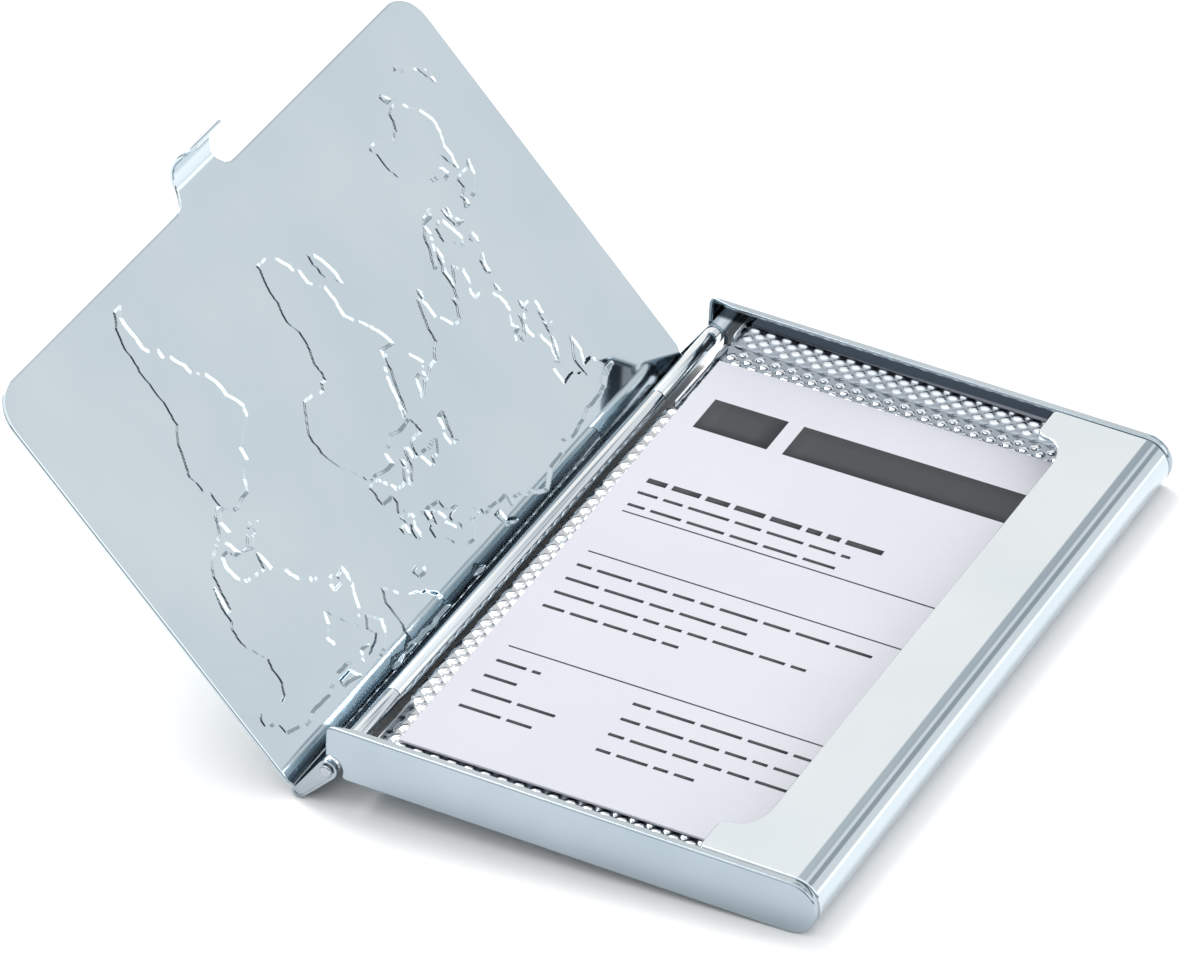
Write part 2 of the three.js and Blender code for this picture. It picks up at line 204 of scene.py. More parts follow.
hinge = next(joint for joint in frame["joints"] if joint["name"] == "lid_hinge")
underside = frame["record"]["mounts"][0]["axis"]
lean = math.atan2(-underside[0], -underside[2])
TO_BODY = (
    Matrix.Translation(hinge["pos_m"])
    @ Matrix.Rotation(lean, 4, "Y")
    @ Matrix.Scale(MM, 4)
    @ Matrix.Translation((-PIVOT_X, -MIDDLE, -PIVOT_Z))
)
TO_LID = (
    Matrix.Translation(hinge["pos_m"])
    @ Matrix.Rotation(lean - LID_OPEN_ANGLE, 4, "Y")
    @ Matrix.Scale(MM, 4)
    @ Matrix.Translation((0, -MIDDLE, 0))
)


def add_mesh(name, points, faces, placing, normals=None):
    """A mesh object from points in millimetres, with its own shading normals where they are given."""
    spots = np.array(points, float) @ np.array(placing.to_3x3()).T + np.array(placing.translation)
    mesh = bpy.data.meshes.new(name)
    mesh.from_pydata(spots.tolist(), [], faces)
    mesh.polygons.foreach_set("use_smooth", [True] * len(mesh.polygons))
    if normals is not None:
        turned = np.array(normals, float) @ np.array(placing.to_3x3().normalized()).T
        mesh.normals_split_custom_set_from_vertices(turned.tolist())
    mesh.update()
    piece = bpy.data.objects.new(name, mesh)
    bpy.context.scene.collection.objects.link(piece)
    return piece


# ---------------------------------------------------------------- pressed sheet

QUARTER_STEPS = 4
RIM_STEPS = 6
SLOPE_STEP = 0.01


class Sheet:
    """A bent sheet of even thickness with rounded edges, made from its flat pattern.

    The flat pattern runs along s, which follows the bends, and v, which is along the hinge from the
    middle. path(s) gives the middle surface and its direction, outline(s, v) is the signed distance to
    the pattern's edge, below zero inside, and relief(s, v) gives a pressed height and its two slopes.
    """

    def __init__(self, path, outline, s_lines, v_lines, relief, fine_cells):
        self.path = path
        self.outline = outline
        self.s_lines = np.array(s_lines)
        self.v_lines = np.array(v_lines)
        self.relief = relief
        self.fine = fine_cells
        self.half = SHEET / 2
        self.flat = []
        self.depth = []
        self.index = {}
        self.cuts = {}

    def line_value(self, lines, step):
        cell = min(step // QUARTER_STEPS, len(lines) - 2)
        part = step / QUARTER_STEPS - cell
        return lines[cell] * (1 - part) + lines[cell + 1] * part

    def is_fine(self, i, j):
        inside = 0 <= i < self.fine.shape[0] and 0 <= j < self.fine.shape[1]
        return inside and self.fine[i, j]

    def cell_loops(self, i, j):
        """The cell as loops of grid steps: small squares, or one loop with its neighbours' points."""
        i0, j0, q = i * QUARTER_STEPS, j * QUARTER_STEPS, QUARTER_STEPS
        if self.is_fine(i, j):
            for a in range(i0, i0 + q):
                for b in range(j0, j0 + q):
                    yield [(a, b), (a + 1, b), (a + 1, b + 1), (a, b + 1)]
            return
        low = range(1, q) if self.is_fine(i, j - 1) else ()
        right = range(1, q) if self.is_fine(i + 1, j) else ()
        high = range(1, q) if self.is_fine(i, j + 1) else ()
        left = range(1, q) if self.is_fine(i - 1, j) else ()
        loop = [(i0, j0)] + [(i0 + k, j0) for k in low]
        loop += [(i0 + q, j0)] + [(i0 + q, j0 + k) for k in right]
        loop += [(i0 + q, j0 + q)] + [(i0 + q - k, j0 + q) for k in high]
        loop += [(i0, j0 + q)] + [(i0, j0 + q - k) for k in left]
        yield loop

    def grid_point(self, key):
        if key not in self.index:
            s = self.line_value(self.s_lines, key[0])
            v = self.line_value(self.v_lines, key[1])
            self.index[key] = len(self.flat)
            self.flat.append((s, v))
            self.depth.append(float(self.outline(s, v)) + self.half)
        return self.index[key]

    def cut_point(self, a, b):
        key = (min(a, b), max(a, b))
        if key not in self.cuts:
            low, high = key
            part = self.depth[low] / (self.depth[low] - self.depth[high])
            here, there = np.array(self.flat[low]), np.array(self.flat[high])
            self.cuts[key] = len(self.flat)
            self.flat.append(tuple(here + (there - here) * part))
            self.depth.append(0.0)
        return self.cuts[key]

    def pattern(self):
        """Faces of the flat pattern, cut off where the rounded edge starts."""
        faces = []
        for i in range(len(self.s_lines) - 1):
            for j in range(len(self.v_lines) - 1):
                for loop in self.cell_loops(i, j):
                    around = [self.grid_point(key) for key in loop]
                    kept = []
                    for here, there in zip(around, around[1:] + around[:1]):
                        if self.depth[here] < 0:
                            kept.append(here)
                        if (self.depth[here] < 0) != (self.depth[there] < 0):
                            kept.append(self.cut_point(here, there))
                    if len(kept) > 2:
                        faces.append(kept)
        return faces

    def outward(self, s, v):
        """Direction in the flat pattern that leads straight out over the edge."""
        step = SLOPE_STEP
        along_s = self.outline(s + step, v) - self.outline(s - step, v)
        along_v = self.outline(s, v + step) - self.outline(s, v - step)
        size = math.hypot(along_s, along_v) or 1.0
        return along_s / size, along_v / size

    def place(self, s, v, height):
        (x, z), (tx, tz) = self.path(s)
        return x - tz * height, MIDDLE + v, z + tx * height

    def build(self, name, placing):
        faces = self.pattern()
        used = sorted({point for face in faces for point in face})
        renumber = {point: k for k, point in enumerate(used)}
        faces = [[renumber[point] for point in face] for face in faces]
        flat = np.array([self.flat[point] for point in used])
        rise, slope_s, slope_v = self.relief(flat[:, 0], flat[:, 1])
        points, normals = [], []
        for side in (1, -1):
            for (s, v), up, ds, dv in zip(flat, rise, slope_s, slope_v):
                points.append(self.place(s, v, up + side * self.half))
                tx, tz = self.path(s)[1]
                normals.append((side * (-tz - ds * tx), -side * dv, side * (tx - ds * tz)))
        count = len(flat)
        solid = faces + [[count + point for point in reversed(face)] for face in faces]
        solid += self.rim(faces, flat, rise, points, normals)
        sizes = np.linalg.norm(np.array(normals), axis=1, keepdims=True)
        return add_mesh(name, points, solid, placing, np.array(normals) / sizes)

    def rim(self, faces, flat, rise, points, normals):
        """Half-round edge between the two sides, along every side of the pattern that has one face."""
        sides = {(a, b) for face in faces for a, b in zip(face, face[1:] + face[:1])}
        edge = [(a, b) for a, b in sides if (b, a) not in sides]
        rings = {}
        for point in sorted({p for pair in edge for p in pair}):
            s, v = flat[point]
            out_s, out_v = self.outward(s, v)
            ring = [point]
            for step in range(1, RIM_STEPS):
                turn = math.pi * step / RIM_STEPS
                reach, height = self.half * math.sin(turn), self.half * math.cos(turn)
                ring.append(len(points))
                points.append(self.place(s + out_s * reach, v + out_v * reach, rise[point] + height))
                tx, tz = self.path(s)[1]
                sine, cosine = math.sin(turn), math.cos(turn)
                normals.append((
                    sine * out_s * tx - cosine * tz,
                    sine * out_v,
                    sine * out_s * tz + cosine * tx,
                ))
            ring.append(len(flat) + point)
            rings[point] = ring
        made = []
        for a, b in sorted(edge):
            for k in range(RIM_STEPS):
                made.append([rings[b][k], rings[a][k], rings[a][k + 1], rings[b][k + 1]])
        return made


def even_lines(low, high, spacing):
    count = max(1, round((high - low) / spacing))
    return [low + (high - low) * k / count for k in range(count + 1)]


def join_lines(*runs):
    """Grid lines from runs that each start where the last one stopped."""
    lines = list(runs[0])
    for run in runs[1:]:
        lines += run[1:]
    return lines


def bump(s, v, centre_s, half_s, half_v, height):
    """A smooth oval bump with its two slopes."""
    across, along = (s - centre_s) / half_s, v / half_v
    room = np.clip(1 - across ** 2 - along ** 2, 0, None)
    rise = height * room ** 2
    steep = -4 * height * room
    return rise, steep * across / half_s, steep * along / half_v


# ---------------------------------------------------------------- case body shell

SHELL_MID_RADIUS = SIDE_RADIUS - SHEET / 2
SHELL_ARC_START = SIDE_X - FLOOR_LEFT
SHELL_ARC_LENGTH = math.pi * SHELL_MID_RADIUS
SHELL_LIP_START = SHELL_ARC_START + SHELL_ARC_LENGTH
SHELL_HALF_LENGTH = MIDDLE - CAP_DEPTH - SEAM
# Grid spacing: close beside the notch and the catch, fine at the bend and lip, wide on the flats
SHELL_CLOSE_ZONE = 2.0
SHELL_CLOSE_SPACING = 0.25
SHELL_EDGE_SPACING = 0.3
SHELL_END_SPACING = 0.4
SHELL_LONG_SPACING = 3.0
SHELL_FLAT_SPACING = 4.0


def shell_path(s):
    if s < SHELL_ARC_START:
        return (FLOOR_LEFT + s, SHEET / 2), (1.0, 0.0)
    if s < SHELL_LIP_START:
        turn = (s - SHELL_ARC_START) / SHELL_MID_RADIUS
        centre_x, centre_z = SIDE_X, SIDE_RADIUS
        spot = (centre_x + SHELL_MID_RADIUS * math.sin(turn), centre_z - SHELL_MID_RADIUS * math.cos(turn))
        return spot, (math.cos(turn), math.sin(turn))
    return (SIDE_X - (s - SHELL_LIP_START), CASE_HEIGHT - SHEET / 2), (-1.0, 0.0)


def lip_edge(x, along):
    """Signed distance to the lip's inner edge; along is measured from the middle of the case."""
    corner_x = LIP_END_X + LIP_CORNER
    corner_v = MIDDLE - LIP_END_LENGTH + LIP_CORNER
    sweep_v = MIDDLE - LIP_END_LENGTH - LIP_SWEEP
    sweep_width = LIP_MIDDLE_X - corner_x
    if along > corner_v:
        return LIP_END_X - x
    if x < corner_x:
        return math.hypot(x - corner_x, along - corner_v) - LIP_CORNER
    if along < sweep_v:
        return LIP_MIDDLE_X - x
    across, up = (x - corner_x) / sweep_width, (along - sweep_v) / LIP_SWEEP
    size = max(math.hypot(across, up), 1e-6)
    steep = math.hypot(across / sweep_width, up / LIP_SWEEP) / size
    return (1 - size) / max(steep, 1e-6)


def shell_outline(s, v):
    along = abs(v)
    distance = max(along - SHELL_HALF_LENGTH, -s)
    notch_edge = KNUCKLE_NOTCH_X - FLOOR_LEFT
    notch_start = MIDDLE - KNUCKLE_NOTCH_LENGTH
    distance = max(distance, min(notch_edge - s, along - notch_start))
    lip_x = SIDE_X - (s - SHELL_LIP_START)
    if lip_x < SIDE_X:
        distance = max(distance, lip_edge(lip_x, along))
    return distance


def shell_relief(s, v):
    catch_s = SHELL_ARC_START + SHELL_MID_RADIUS * (math.pi / 2 + CATCH_ANGLE)
    rise, ds, dv = bump(s, v, catch_s, CATCH_HALF_WIDTH, CATCH_HALF_LENGTH, CATCH_HEIGHT)
    return -rise, -ds, -dv


def make_shell():
    end = SHELL_HALF_LENGTH + SHEET
    lip_low = SHELL_LIP_START + SIDE_X - LIP_MIDDLE_X - 1
    lip_high = SHELL_LIP_START + SIDE_X - LIP_END_X + 1
    s_lines = join_lines(
        even_lines(-SHEET, SHELL_CLOSE_ZONE, SHELL_CLOSE_SPACING),
        even_lines(SHELL_CLOSE_ZONE, SHELL_ARC_START, SHELL_FLAT_SPACING),
        even_lines(SHELL_ARC_START, SHELL_LIP_START, SHELL_EDGE_SPACING),
        even_lines(SHELL_LIP_START, lip_low, SHELL_CLOSE_ZONE),
        even_lines(lip_low, lip_high, SHELL_EDGE_SPACING),
    )
    sweep_start = MIDDLE - LIP_END_LENGTH - LIP_SWEEP - 1
    corner_end = MIDDLE - LIP_END_LENGTH + LIP_CORNER + 1
    half = join_lines(
        even_lines(0, SHELL_CLOSE_ZONE, SHELL_CLOSE_SPACING),
        even_lines(SHELL_CLOSE_ZONE, sweep_start, SHELL_LONG_SPACING),
        even_lines(sweep_start, corner_end, SHELL_EDGE_SPACING),
        even_lines(corner_end, end, SHELL_END_SPACING),
    )
    v_lines = [-v for v in reversed(half[1:])] + half
    no_fine = np.zeros((len(s_lines) - 1, len(v_lines) - 1), bool)
    sheet = Sheet(shell_path, shell_outline, s_lines, v_lines, shell_relief, no_fine)
    return sheet.build("polished_shell", TO_BODY)


# ---------------------------------------------------------------- map on the lid

COASTS = {
    "americas": [
        (-166, 68), (-156, 71), (-141, 69.5), (-128, 70), (-115, 68), (-102, 67.5), (-95, 71),
        (-88, 68), (-82, 68.5), (-87, 65), (-94, 61), (-93, 58), (-85, 55.5), (-80, 52), (-79, 55),
        (-77, 60), (-75, 62.3), (-70, 61), (-65, 59), (-61, 56), (-56, 52.5), (-60, 50), (-66, 50),
        (-65, 48), (-61, 46), (-66, 43.8), (-70.5, 43), (-70, 41.7), (-74, 40.5), (-76, 37), (-76, 35),
        (-81, 31.5), (-80, 27), (-80.5, 25.2), (-82.5, 28), (-84, 30), (-89.5, 29.5), (-95, 29),
        (-97.5, 26), (-97.5, 22), (-95, 18.5), (-91, 18.6), (-90, 21), (-87, 21.3), (-88.3, 16.5),
        (-83.3, 15), (-83.5, 11), (-80, 9), (-77, 8.5), (-75, 10.8), (-71.5, 12), (-68, 11),
        (-62, 10.5), (-57, 6), (-51, 4), (-50, 0), (-44, -2.5), (-37, -5), (-35, -8), (-39, -14),
        (-39.5, -19), (-42, -22.8), (-48, -26), (-49, -29), (-53.5, -34), (-57, -35), (-57.5, -38),
        (-62, -39), (-65, -41.5), (-65.5, -45), (-68, -50), (-68.5, -52.5), (-66, -55), (-71, -55),
        (-74.5, -51), (-75, -46.5), (-73.5, -40), (-73, -36), (-71.5, -31), (-70.3, -23),
        (-70.5, -18.3), (-76, -14), (-79.5, -7.5), (-81.2, -5), (-80, -2.5), (-80, 1), (-77.5, 3),
        (-78, 7.5), (-80.5, 7.5), (-83.5, 8.8), (-86, 11.5), (-88, 13.2), (-92.5, 14.7), (-96, 15.8),
        (-102, 18), (-105.5, 20.5), (-109, 25.5), (-113, 31), (-114.5, 31), (-112, 27), (-110, 23),
        (-112.5, 26), (-115.5, 29.5), (-117.5, 33.5), (-121, 35.5), (-124, 40), (-124.3, 46),
        (-123.5, 49), (-128, 52), (-133, 57), (-140, 60), (-146, 61), (-152, 59), (-156, 57.5),
        (-163, 55), (-158, 58.7), (-162, 60), (-165, 62), (-161, 64.5),
    ],
    "greenland": [
        (-45, 60), (-51, 64), (-54, 70), (-60, 76), (-68, 77.5), (-58, 81), (-35, 83), (-20, 80),
        (-20, 74), (-25, 70.5), (-33, 68), (-40, 65),
    ],
    "baffin": [
        (-66, 62), (-73, 65), (-72, 68), (-88, 71), (-85, 73.5), (-78, 73), (-68, 70), (-62, 66.5),
        (-64, 64),
    ],
    "victoria": [(-115, 69.5), (-105, 69.5), (-105, 73), (-118, 71.5)],
    "ellesmere": [(-82, 77), (-90, 80), (-70, 82), (-64, 81), (-78, 77.5)],
    "newfoundland": [(-59.2, 47.7), (-53, 46.8), (-53.5, 49.5), (-56, 51.5), (-58.8, 49)],
    "cuba": [(-84.8, 21.9), (-80, 23.2), (-74.3, 20.6), (-77.5, 19.6), (-82, 22)],
    "hispaniola": [(-74.3, 18.2), (-72.8, 20), (-68.5, 18.8), (-71.5, 17.4)],
    "old_world": [
        (-5.8, 35.8), (-9.5, 31.5), (-13, 27.8), (-17, 21), (-17.5, 14.7), (-16.5, 12), (-13.3, 9),
        (-9, 5.6), (-7.7, 4.4), (-2, 4.8), (1.2, 6), (4.4, 6.3), (6, 4.3), (8.8, 4.5), (9.7, 2),
        (9.3, -1), (12, -5), (13.3, -8.8), (13.7, -11), (11.8, -16), (14.5, -22), (15.2, -27),
        (18.3, -32.5), (18.5, -34.3), (22, -34), (26, -33.9), (30.5, -31), (32.8, -27.5), (32.8, -25.8),
        (35.5, -24), (34.8, -19.8), (37, -17.8), (40.6, -15), (40.5, -10.5), (39.3, -7), (39, -4.8),
        (41.5, -1.8), (46, 2.5), (48.5, 5.5), (51, 10.5), (51.2, 11.9), (48, 11.3), (44, 10.5),
        (43, 12.5), (39.8, 15), (37.3, 19), (35.5, 24), (33.8, 27.5), (32.5, 29.8), (34.3, 27.8),
        (35, 29.4), (37, 26), (39, 21.5), (41.8, 17), (43, 13), (45, 12.8), (48.5, 14), (52, 15.6),
        (55.3, 17.5), (59.8, 22.5), (56.8, 24.3), (56.3, 26.2), (54, 24.2), (51.3, 24.5), (50, 26.7),
        (48, 29.9), (50.8, 28.8), (54.5, 26.6), (57, 26.9), (61.5, 25.1), (66.5, 25), (67.5, 23.8),
        (70, 22), (72.6, 21.2), (72.9, 19), (73.5, 15.7), (74.8, 12.8), (76.3, 9.8), (77.5, 8.1),
        (79.8, 10.3), (80.2, 13.3), (80.2, 15.8), (82.3, 16.7), (85, 19.4), (87, 21.5), (90, 22),
        (92, 21.5), (94.3, 18.5), (94.4, 16), (97, 16.8), (98.5, 14), (98.5, 10), (98.3, 8),
        (100.4, 6.3), (101.3, 3), (103.5, 1.4), (103.4, 4), (102, 6.2), (99.6, 9.3), (100, 13.3),
        (101, 12.6), (103, 10.8), (105, 8.8), (106.8, 10.4), (109.2, 12), (108.8, 15.5), (106, 18.8),
        (106.8, 20.8), (110.2, 20.8), (113.5, 22.3), (117, 23.5), (119.6, 25.8), (121.8, 28.8),
        (121.9, 31.5), (119.5, 34.8), (122.4, 37), (119, 37.4), (118, 39), (121.5, 40.8), (121.5, 39),
        (124.5, 39.9), (126.5, 37), (126.3, 34.5), (129.3, 35.3), (127.6, 39.5), (130.5, 42.5),
        (135, 43.6), (140.3, 48.5), (141, 52.8), (137.5, 54), (143, 59.3), (152, 59), (163, 62.3),
        (155.7, 57), (156.7, 51), (160, 53.5), (162.5, 56), (163.5, 59.8), (170, 60), (177, 62.5),
        (190, 66), (180, 69), (170, 70), (160, 69.8), (150, 71.5), (140, 72.5), (130, 71), (127, 73.3),
        (113, 73.8), (105, 77.5), (95, 76), (80, 72.3), (73, 71.5), (69, 73), (67, 69), (60, 69),
        (54, 68.3), (45, 68), (44, 66.3), (40, 64.6), (33, 66.7), (41, 66.5), (33, 69.4), (28, 71),
        (20, 70), (14, 67.5), (10.5, 64), (5, 62), (5.3, 59), (8, 58), (10.6, 59.2), (12.5, 56),
        (14.3, 55.5), (16.5, 57), (18.8, 60), (17.2, 61), (21.5, 64.5), (24, 65.8), (25.3, 65),
        (21.3, 62), (21.5, 60.8), (25, 60.2), (30, 60), (23.5, 59.2), (21.5, 57.5), (21, 55),
        (18.5, 54.7), (14, 54), (11, 54), (10.5, 57.5), (8.2, 57), (8.8, 54), (6.5, 53.5), (3.5, 51.5),
        (1.7, 50.5), (-1.5, 49.6), (-4.7, 48.4), (-1.2, 46), (-1.5, 43.5), (-9, 43.2), (-8.9, 37),
        (-6.3, 36.6), (-5.4, 36.3), (-2, 36.8), (0, 38.7), (3.2, 41.9), (3.5, 43.3), (7.5, 43.7),
        (10.3, 43.5), (12.3, 41.7), (15.7, 40), (16, 38), (17.1, 39), (16.6, 40.5), (18.5, 40.1),
        (16, 41.5), (13.6, 43.6), (12.3, 45.3), (13.8, 45), (15.2, 44), (19.4, 41.8), (20, 39.7),
        (21.7, 36.8), (23.2, 36.6), (24, 38), (23, 40.3), (26, 40.8), (26.3, 38.3), (27.5, 36.8),
        (32.5, 36.1), (36, 36.7), (35.7, 34), (34.3, 31.3), (31, 31.5), (25, 31.6), (19.5, 30.4),
        (15.3, 32.2), (11, 33.3), (11, 37), (5, 36.8), (-1, 35.5),
    ],
    "black_sea": [
        (28, 42), (29, 41.3), (31.5, 41.2), (35, 42), (38.5, 41), (41.5, 41.6), (37, 45), (33.5, 44.5),
        (32, 46.3), (30, 46),
    ],
    "caspian_sea": [
        (50, 37.5), (54, 37), (53, 40), (51, 45), (53, 46.8), (48.5, 46), (47.5, 43), (49.5, 40.5),
    ],
    "britain": [
        (-5.5, 50), (1.2, 51), (1.7, 52.7), (-1.5, 55), (-2, 57.5), (-3.2, 58.5), (-5.5, 58), (-5, 55),
        (-3, 54), (-4.8, 52),
    ],
    "ireland": [(-10, 52), (-6.3, 52.2), (-6.6, 54.5), (-7.5, 55.3), (-10, 54)],
    "iceland": [(-22.5, 64), (-18.5, 63.4), (-14, 65), (-16, 66.4), (-22, 66.2)],
    "svalbard": [(12, 78), (18, 76.7), (24, 79.5), (16, 80)],
    "novaya_zemlya": [(52, 71), (57, 71), (60, 74.5), (68, 76.7), (58, 75.5)],
    "madagascar": [
        (49.3, -12), (50.3, -15.5), (47.5, -24.5), (45, -25.5), (43.5, -22.5), (44.3, -17), (47, -15.3),
    ],
    "sri_lanka": [(80, 9.4), (81.8, 7.5), (80.5, 6), (79.8, 7.5)],
    "honshu": [
        (130, 31.5), (131.8, 33.5), (135.5, 33.6), (140, 35), (141.8, 39.5), (140.8, 41.3),
        (139.6, 38.7), (136.8, 37), (132.5, 35.5), (129.8, 33.3),
    ],
    "hokkaido": [(140.3, 41.9), (143, 42.2), (145.5, 43.4), (142, 45.4), (141, 43.2)],
    "sakhalin": [(142.5, 46.5), (143.8, 49), (143, 54), (142, 51)],
    "taiwan": [(121, 22.2), (121.9, 25), (120.3, 23.5)],
    "luzon": [(120.5, 14), (124, 13), (122, 16), (122, 18.4), (120.5, 18.3)],
    "mindanao": [(122.2, 7), (125.5, 6), (126.4, 8), (125.4, 9.7), (123.4, 8.5)],
    "borneo": [
        (109.2, 1.8), (110.2, -2.8), (114.5, -3.8), (116.3, -3), (117.8, 1), (119, 5), (117, 7),
        (113.5, 3.8), (111.2, 2.5),
    ],
    "sumatra": [
        (95.3, 5.5), (97.5, 5.2), (103.5, -0.5), (106, -3), (105.7, -5.8), (102.3, -4), (98.8, 1.5),
    ],
    "java": [(105.3, -6.8), (108.3, -6.7), (112.5, -6.8), (114.5, -8.5), (108.5, -7.8)],
    "sulawesi": [
        (119.5, -5.5), (120.5, -3), (122.5, -5), (121.5, -1.8), (125, 1.5), (120.3, 0.9), (119.2, -2.8),
    ],
    "new_guinea": [
        (131, -0.8), (134, -0.8), (135, -3.3), (138, -1.7), (144.5, -3.8), (147.8, -6.2),
        (150.5, -10.5), (146.5, -8.8), (143.2, -9.2), (138, -8.3), (138, -5.5), (133, -4),
        (133.5, -2.5),
    ],
    "australia": [
        (114, -22), (113.4, -25.5), (115.7, -31.8), (115, -34.3), (118, -35), (123.5, -33.9),
        (129, -31.6), (134, -32.8), (138, -35.5), (140, -37.9), (146.3, -39), (150, -37.3),
        (153.2, -32), (153.5, -27), (150.8, -23), (146.3, -18.9), (145.3, -15), (142.5, -10.8),
        (141.6, -13.5), (140.8, -17.5), (135.5, -15), (136.8, -12.2), (132.5, -11.4), (130, -13.5),
        (125.8, -14.2), (122.2, -18), (119, -20),
    ],
    "tasmania": [(144.7, -41), (148.3, -41.1), (147.5, -43.9), (145.7, -43.4)],
    "north_island": [
        (173, -34.5), (175.5, -36.8), (178.5, -37.8), (176.8, -40), (175, -41.5), (174, -39.3),
    ],
    "south_island": [
        (173, -41.2), (174.2, -42.2), (171, -45.2), (169, -47), (166.5, -46.2), (171.3, -42.8),
    ],
}


def on_lid(longitude, latitude):
    """A place on the map as x away from the hinge and v along it, narrowed towards the poles."""
    squeeze = 1 - MAP_POLE_SQUEEZE * (latitude / 90) ** 2
    v = MAP_MERIDIAN_Y + MAP_LONGITUDE_STEP * longitude * squeeze - MIDDLE
    return max(MAP_EQUATOR_X - MAP_LATITUDE_STEP * latitude, MAP_NORTH_LIMIT), v


def coast_sides():
    """All coastlines as short straight sides, roughened by seeded sideways steps."""
    dice = random.Random(COAST_SEED)
    sides = []
    for places in COASTS.values():
        loop = [Vector(on_lid(*place)) for place in places]
        for here, there in zip(loop, loop[1:] + loop[:1]):
            across = Vector((here.y - there.y, there.x - here.x))
            wobble = [dice.uniform(-COAST_WOBBLE, COAST_WOBBLE) for _ in range(2)]
            first = here.lerp(there, 1 / 3) + across * wobble[0]
            second = here.lerp(there, 2 / 3) + across * wobble[1]
            sides += [(*here, *first), (*first, *second), (*second, *there)]
    return np.array(sides)


SIDES = coast_sides()
POINTS_AT_ONCE = 2000


def coast_distance(x, v):
    """Signed distance to the nearest coast, above zero on land, and the direction away from it."""
    start, run = SIDES[:, :2], SIDES[:, 2:] - SIDES[:, :2]
    length = (run ** 2).sum(1) + 1e-12
    distance, away = np.empty(len(x)), np.empty((len(x), 2))
    for low in range(0, len(x), POINTS_AT_ONCE):
        here = slice(low, low + POINTS_AT_ONCE)
        spot = np.stack([x[here], v[here]], 1)[:, None, :]
        gap = spot - start
        part = np.clip((gap * run).sum(2) / length, 0, 1)
        offset = gap - part[..., None] * run
        square = (offset ** 2).sum(2)
        nearest = square.argmin(1)
        rows = np.arange(len(nearest))
        reach = np.sqrt(square[rows, nearest]) + 1e-9
        straddles = (SIDES[:, 1] > spot[..., 1]) != (SIDES[:, 3] > spot[..., 1])
        rise = np.where(run[:, 1] == 0, 1e-12, run[:, 1])
        crossing = SIDES[:, 0] + (spot[..., 1] - SIDES[:, 1]) * run[:, 0] / rise
        land = (straddles & (spot[..., 0] < crossing)).sum(1) % 2 == 1
        sign = np.where(land, 1.0, -1.0)
        distance[here] = reach * sign
        away[here] = offset[rows, nearest] / reach[:, None] * sign[:, None]
    return distance, away


# ---------------------------------------------------------------- lid

LID_MID = LID_TOP - SHEET / 2
BEND_X = SPINE_X + LID_BEND_RADIUS
BEND_Z = LID_TOP - LID_BEND_RADIUS
BEND_MID_RADIUS = LID_BEND_RADIUS - SHEET / 2
BEND_START = LID_TOP - LID_BEND_RADIUS - SPINE_FOOT
PANEL_START = BEND_START + BEND_MID_RADIUS * math.pi / 2
TONGUE_CENTRE_X = SIDE_X - PIVOT_X
TONGUE_CENTRE_Z = SIDE_RADIUS - PIVOT_Z
TONGUE_MID_RADIUS = LID_MID - TONGUE_CENTRE_Z
TONGUE_ARC_START = PANEL_START + TONGUE_CENTRE_X - BEND_X
TONGUE_DROP_START = TONGUE_ARC_START + TONGUE_MID_RADIUS * math.pi / 2
TONGUE_TIP = TONGUE_DROP_START + TONGUE_CENTRE_Z - TONGUE_FOOT
FREE_EDGE = PANEL_START + LID_DEPTH - BEND_X
LID_HALF_LENGTH = MIDDLE + LID_OVERHANG
LID_SPACING = 0.8
SPINE_SPACING = 0.7
BEND_SPACING = 0.1
TONGUE_ARC_SPACING = 0.45
TONGUE_TIP_SPACING = 0.3


def lid_path(s):
    if s < BEND_START:
        return (SPINE_X + SHEET / 2, SPINE_FOOT + s), (0.0, 1.0)
    if s < PANEL_START:
        turn = (s - BEND_START) / BEND_MID_RADIUS
        spot = (BEND_X - BEND_MID_RADIUS * math.cos(turn), BEND_Z + BEND_MID_RADIUS * math.sin(turn))
        return spot, (math.sin(turn), math.cos(turn))
    if s < TONGUE_ARC_START:
        return (BEND_X + s - PANEL_START, LID_MID), (1.0, 0.0)
    if s < TONGUE_DROP_START:
        turn = (s - TONGUE_ARC_START) / TONGUE_MID_RADIUS
        spot = (
            TONGUE_CENTRE_X + TONGUE_MID_RADIUS * math.sin(turn),
            TONGUE_CENTRE_Z + TONGUE_MID_RADIUS * math.cos(turn),
        )
        return spot, (math.cos(turn), -math.sin(turn))
    drop = TONGUE_CENTRE_Z - (s - TONGUE_DROP_START)
    return (TONGUE_CENTRE_X + TONGUE_MID_RADIUS, drop), (0.0, -1.0)


def round_corner(over_s, over_v, radius):
    """Signed distance to the two sides of a corner that is rounded to the radius."""
    inner_s, inner_v = over_s + radius, over_v + radius
    if inner_s > 0 and inner_v > 0:
        return math.hypot(inner_s, inner_v) - radius
    return max(over_s, over_v)


def lid_outline(s, v):
    along = abs(v)
    ear_edge = PANEL_START + EAR_REACH - BEND_X
    spine = max(-s, along - (LID_HALF_LENGTH - EAR_ROOM), s - FREE_EDGE + LID_CORNER)
    panel = max(round_corner(s - FREE_EDGE, along - LID_HALF_LENGTH, LID_CORNER), ear_edge - s)
    root = FREE_EDGE - 1 - s
    tongue = max(round_corner(s - TONGUE_TIP, along - TONGUE_HALF_WIDTH, TONGUE_TIP_CORNER), root)
    flare_s, flare_v = FREE_EDGE + TONGUE_FLARE, TONGUE_HALF_WIDTH + TONGUE_FLARE
    hollow = TONGUE_FLARE - math.hypot(s - flare_s, along - flare_v)
    flare = max(hollow, s - flare_s, along - flare_v, root)
    return min(spine, panel, tongue, flare)


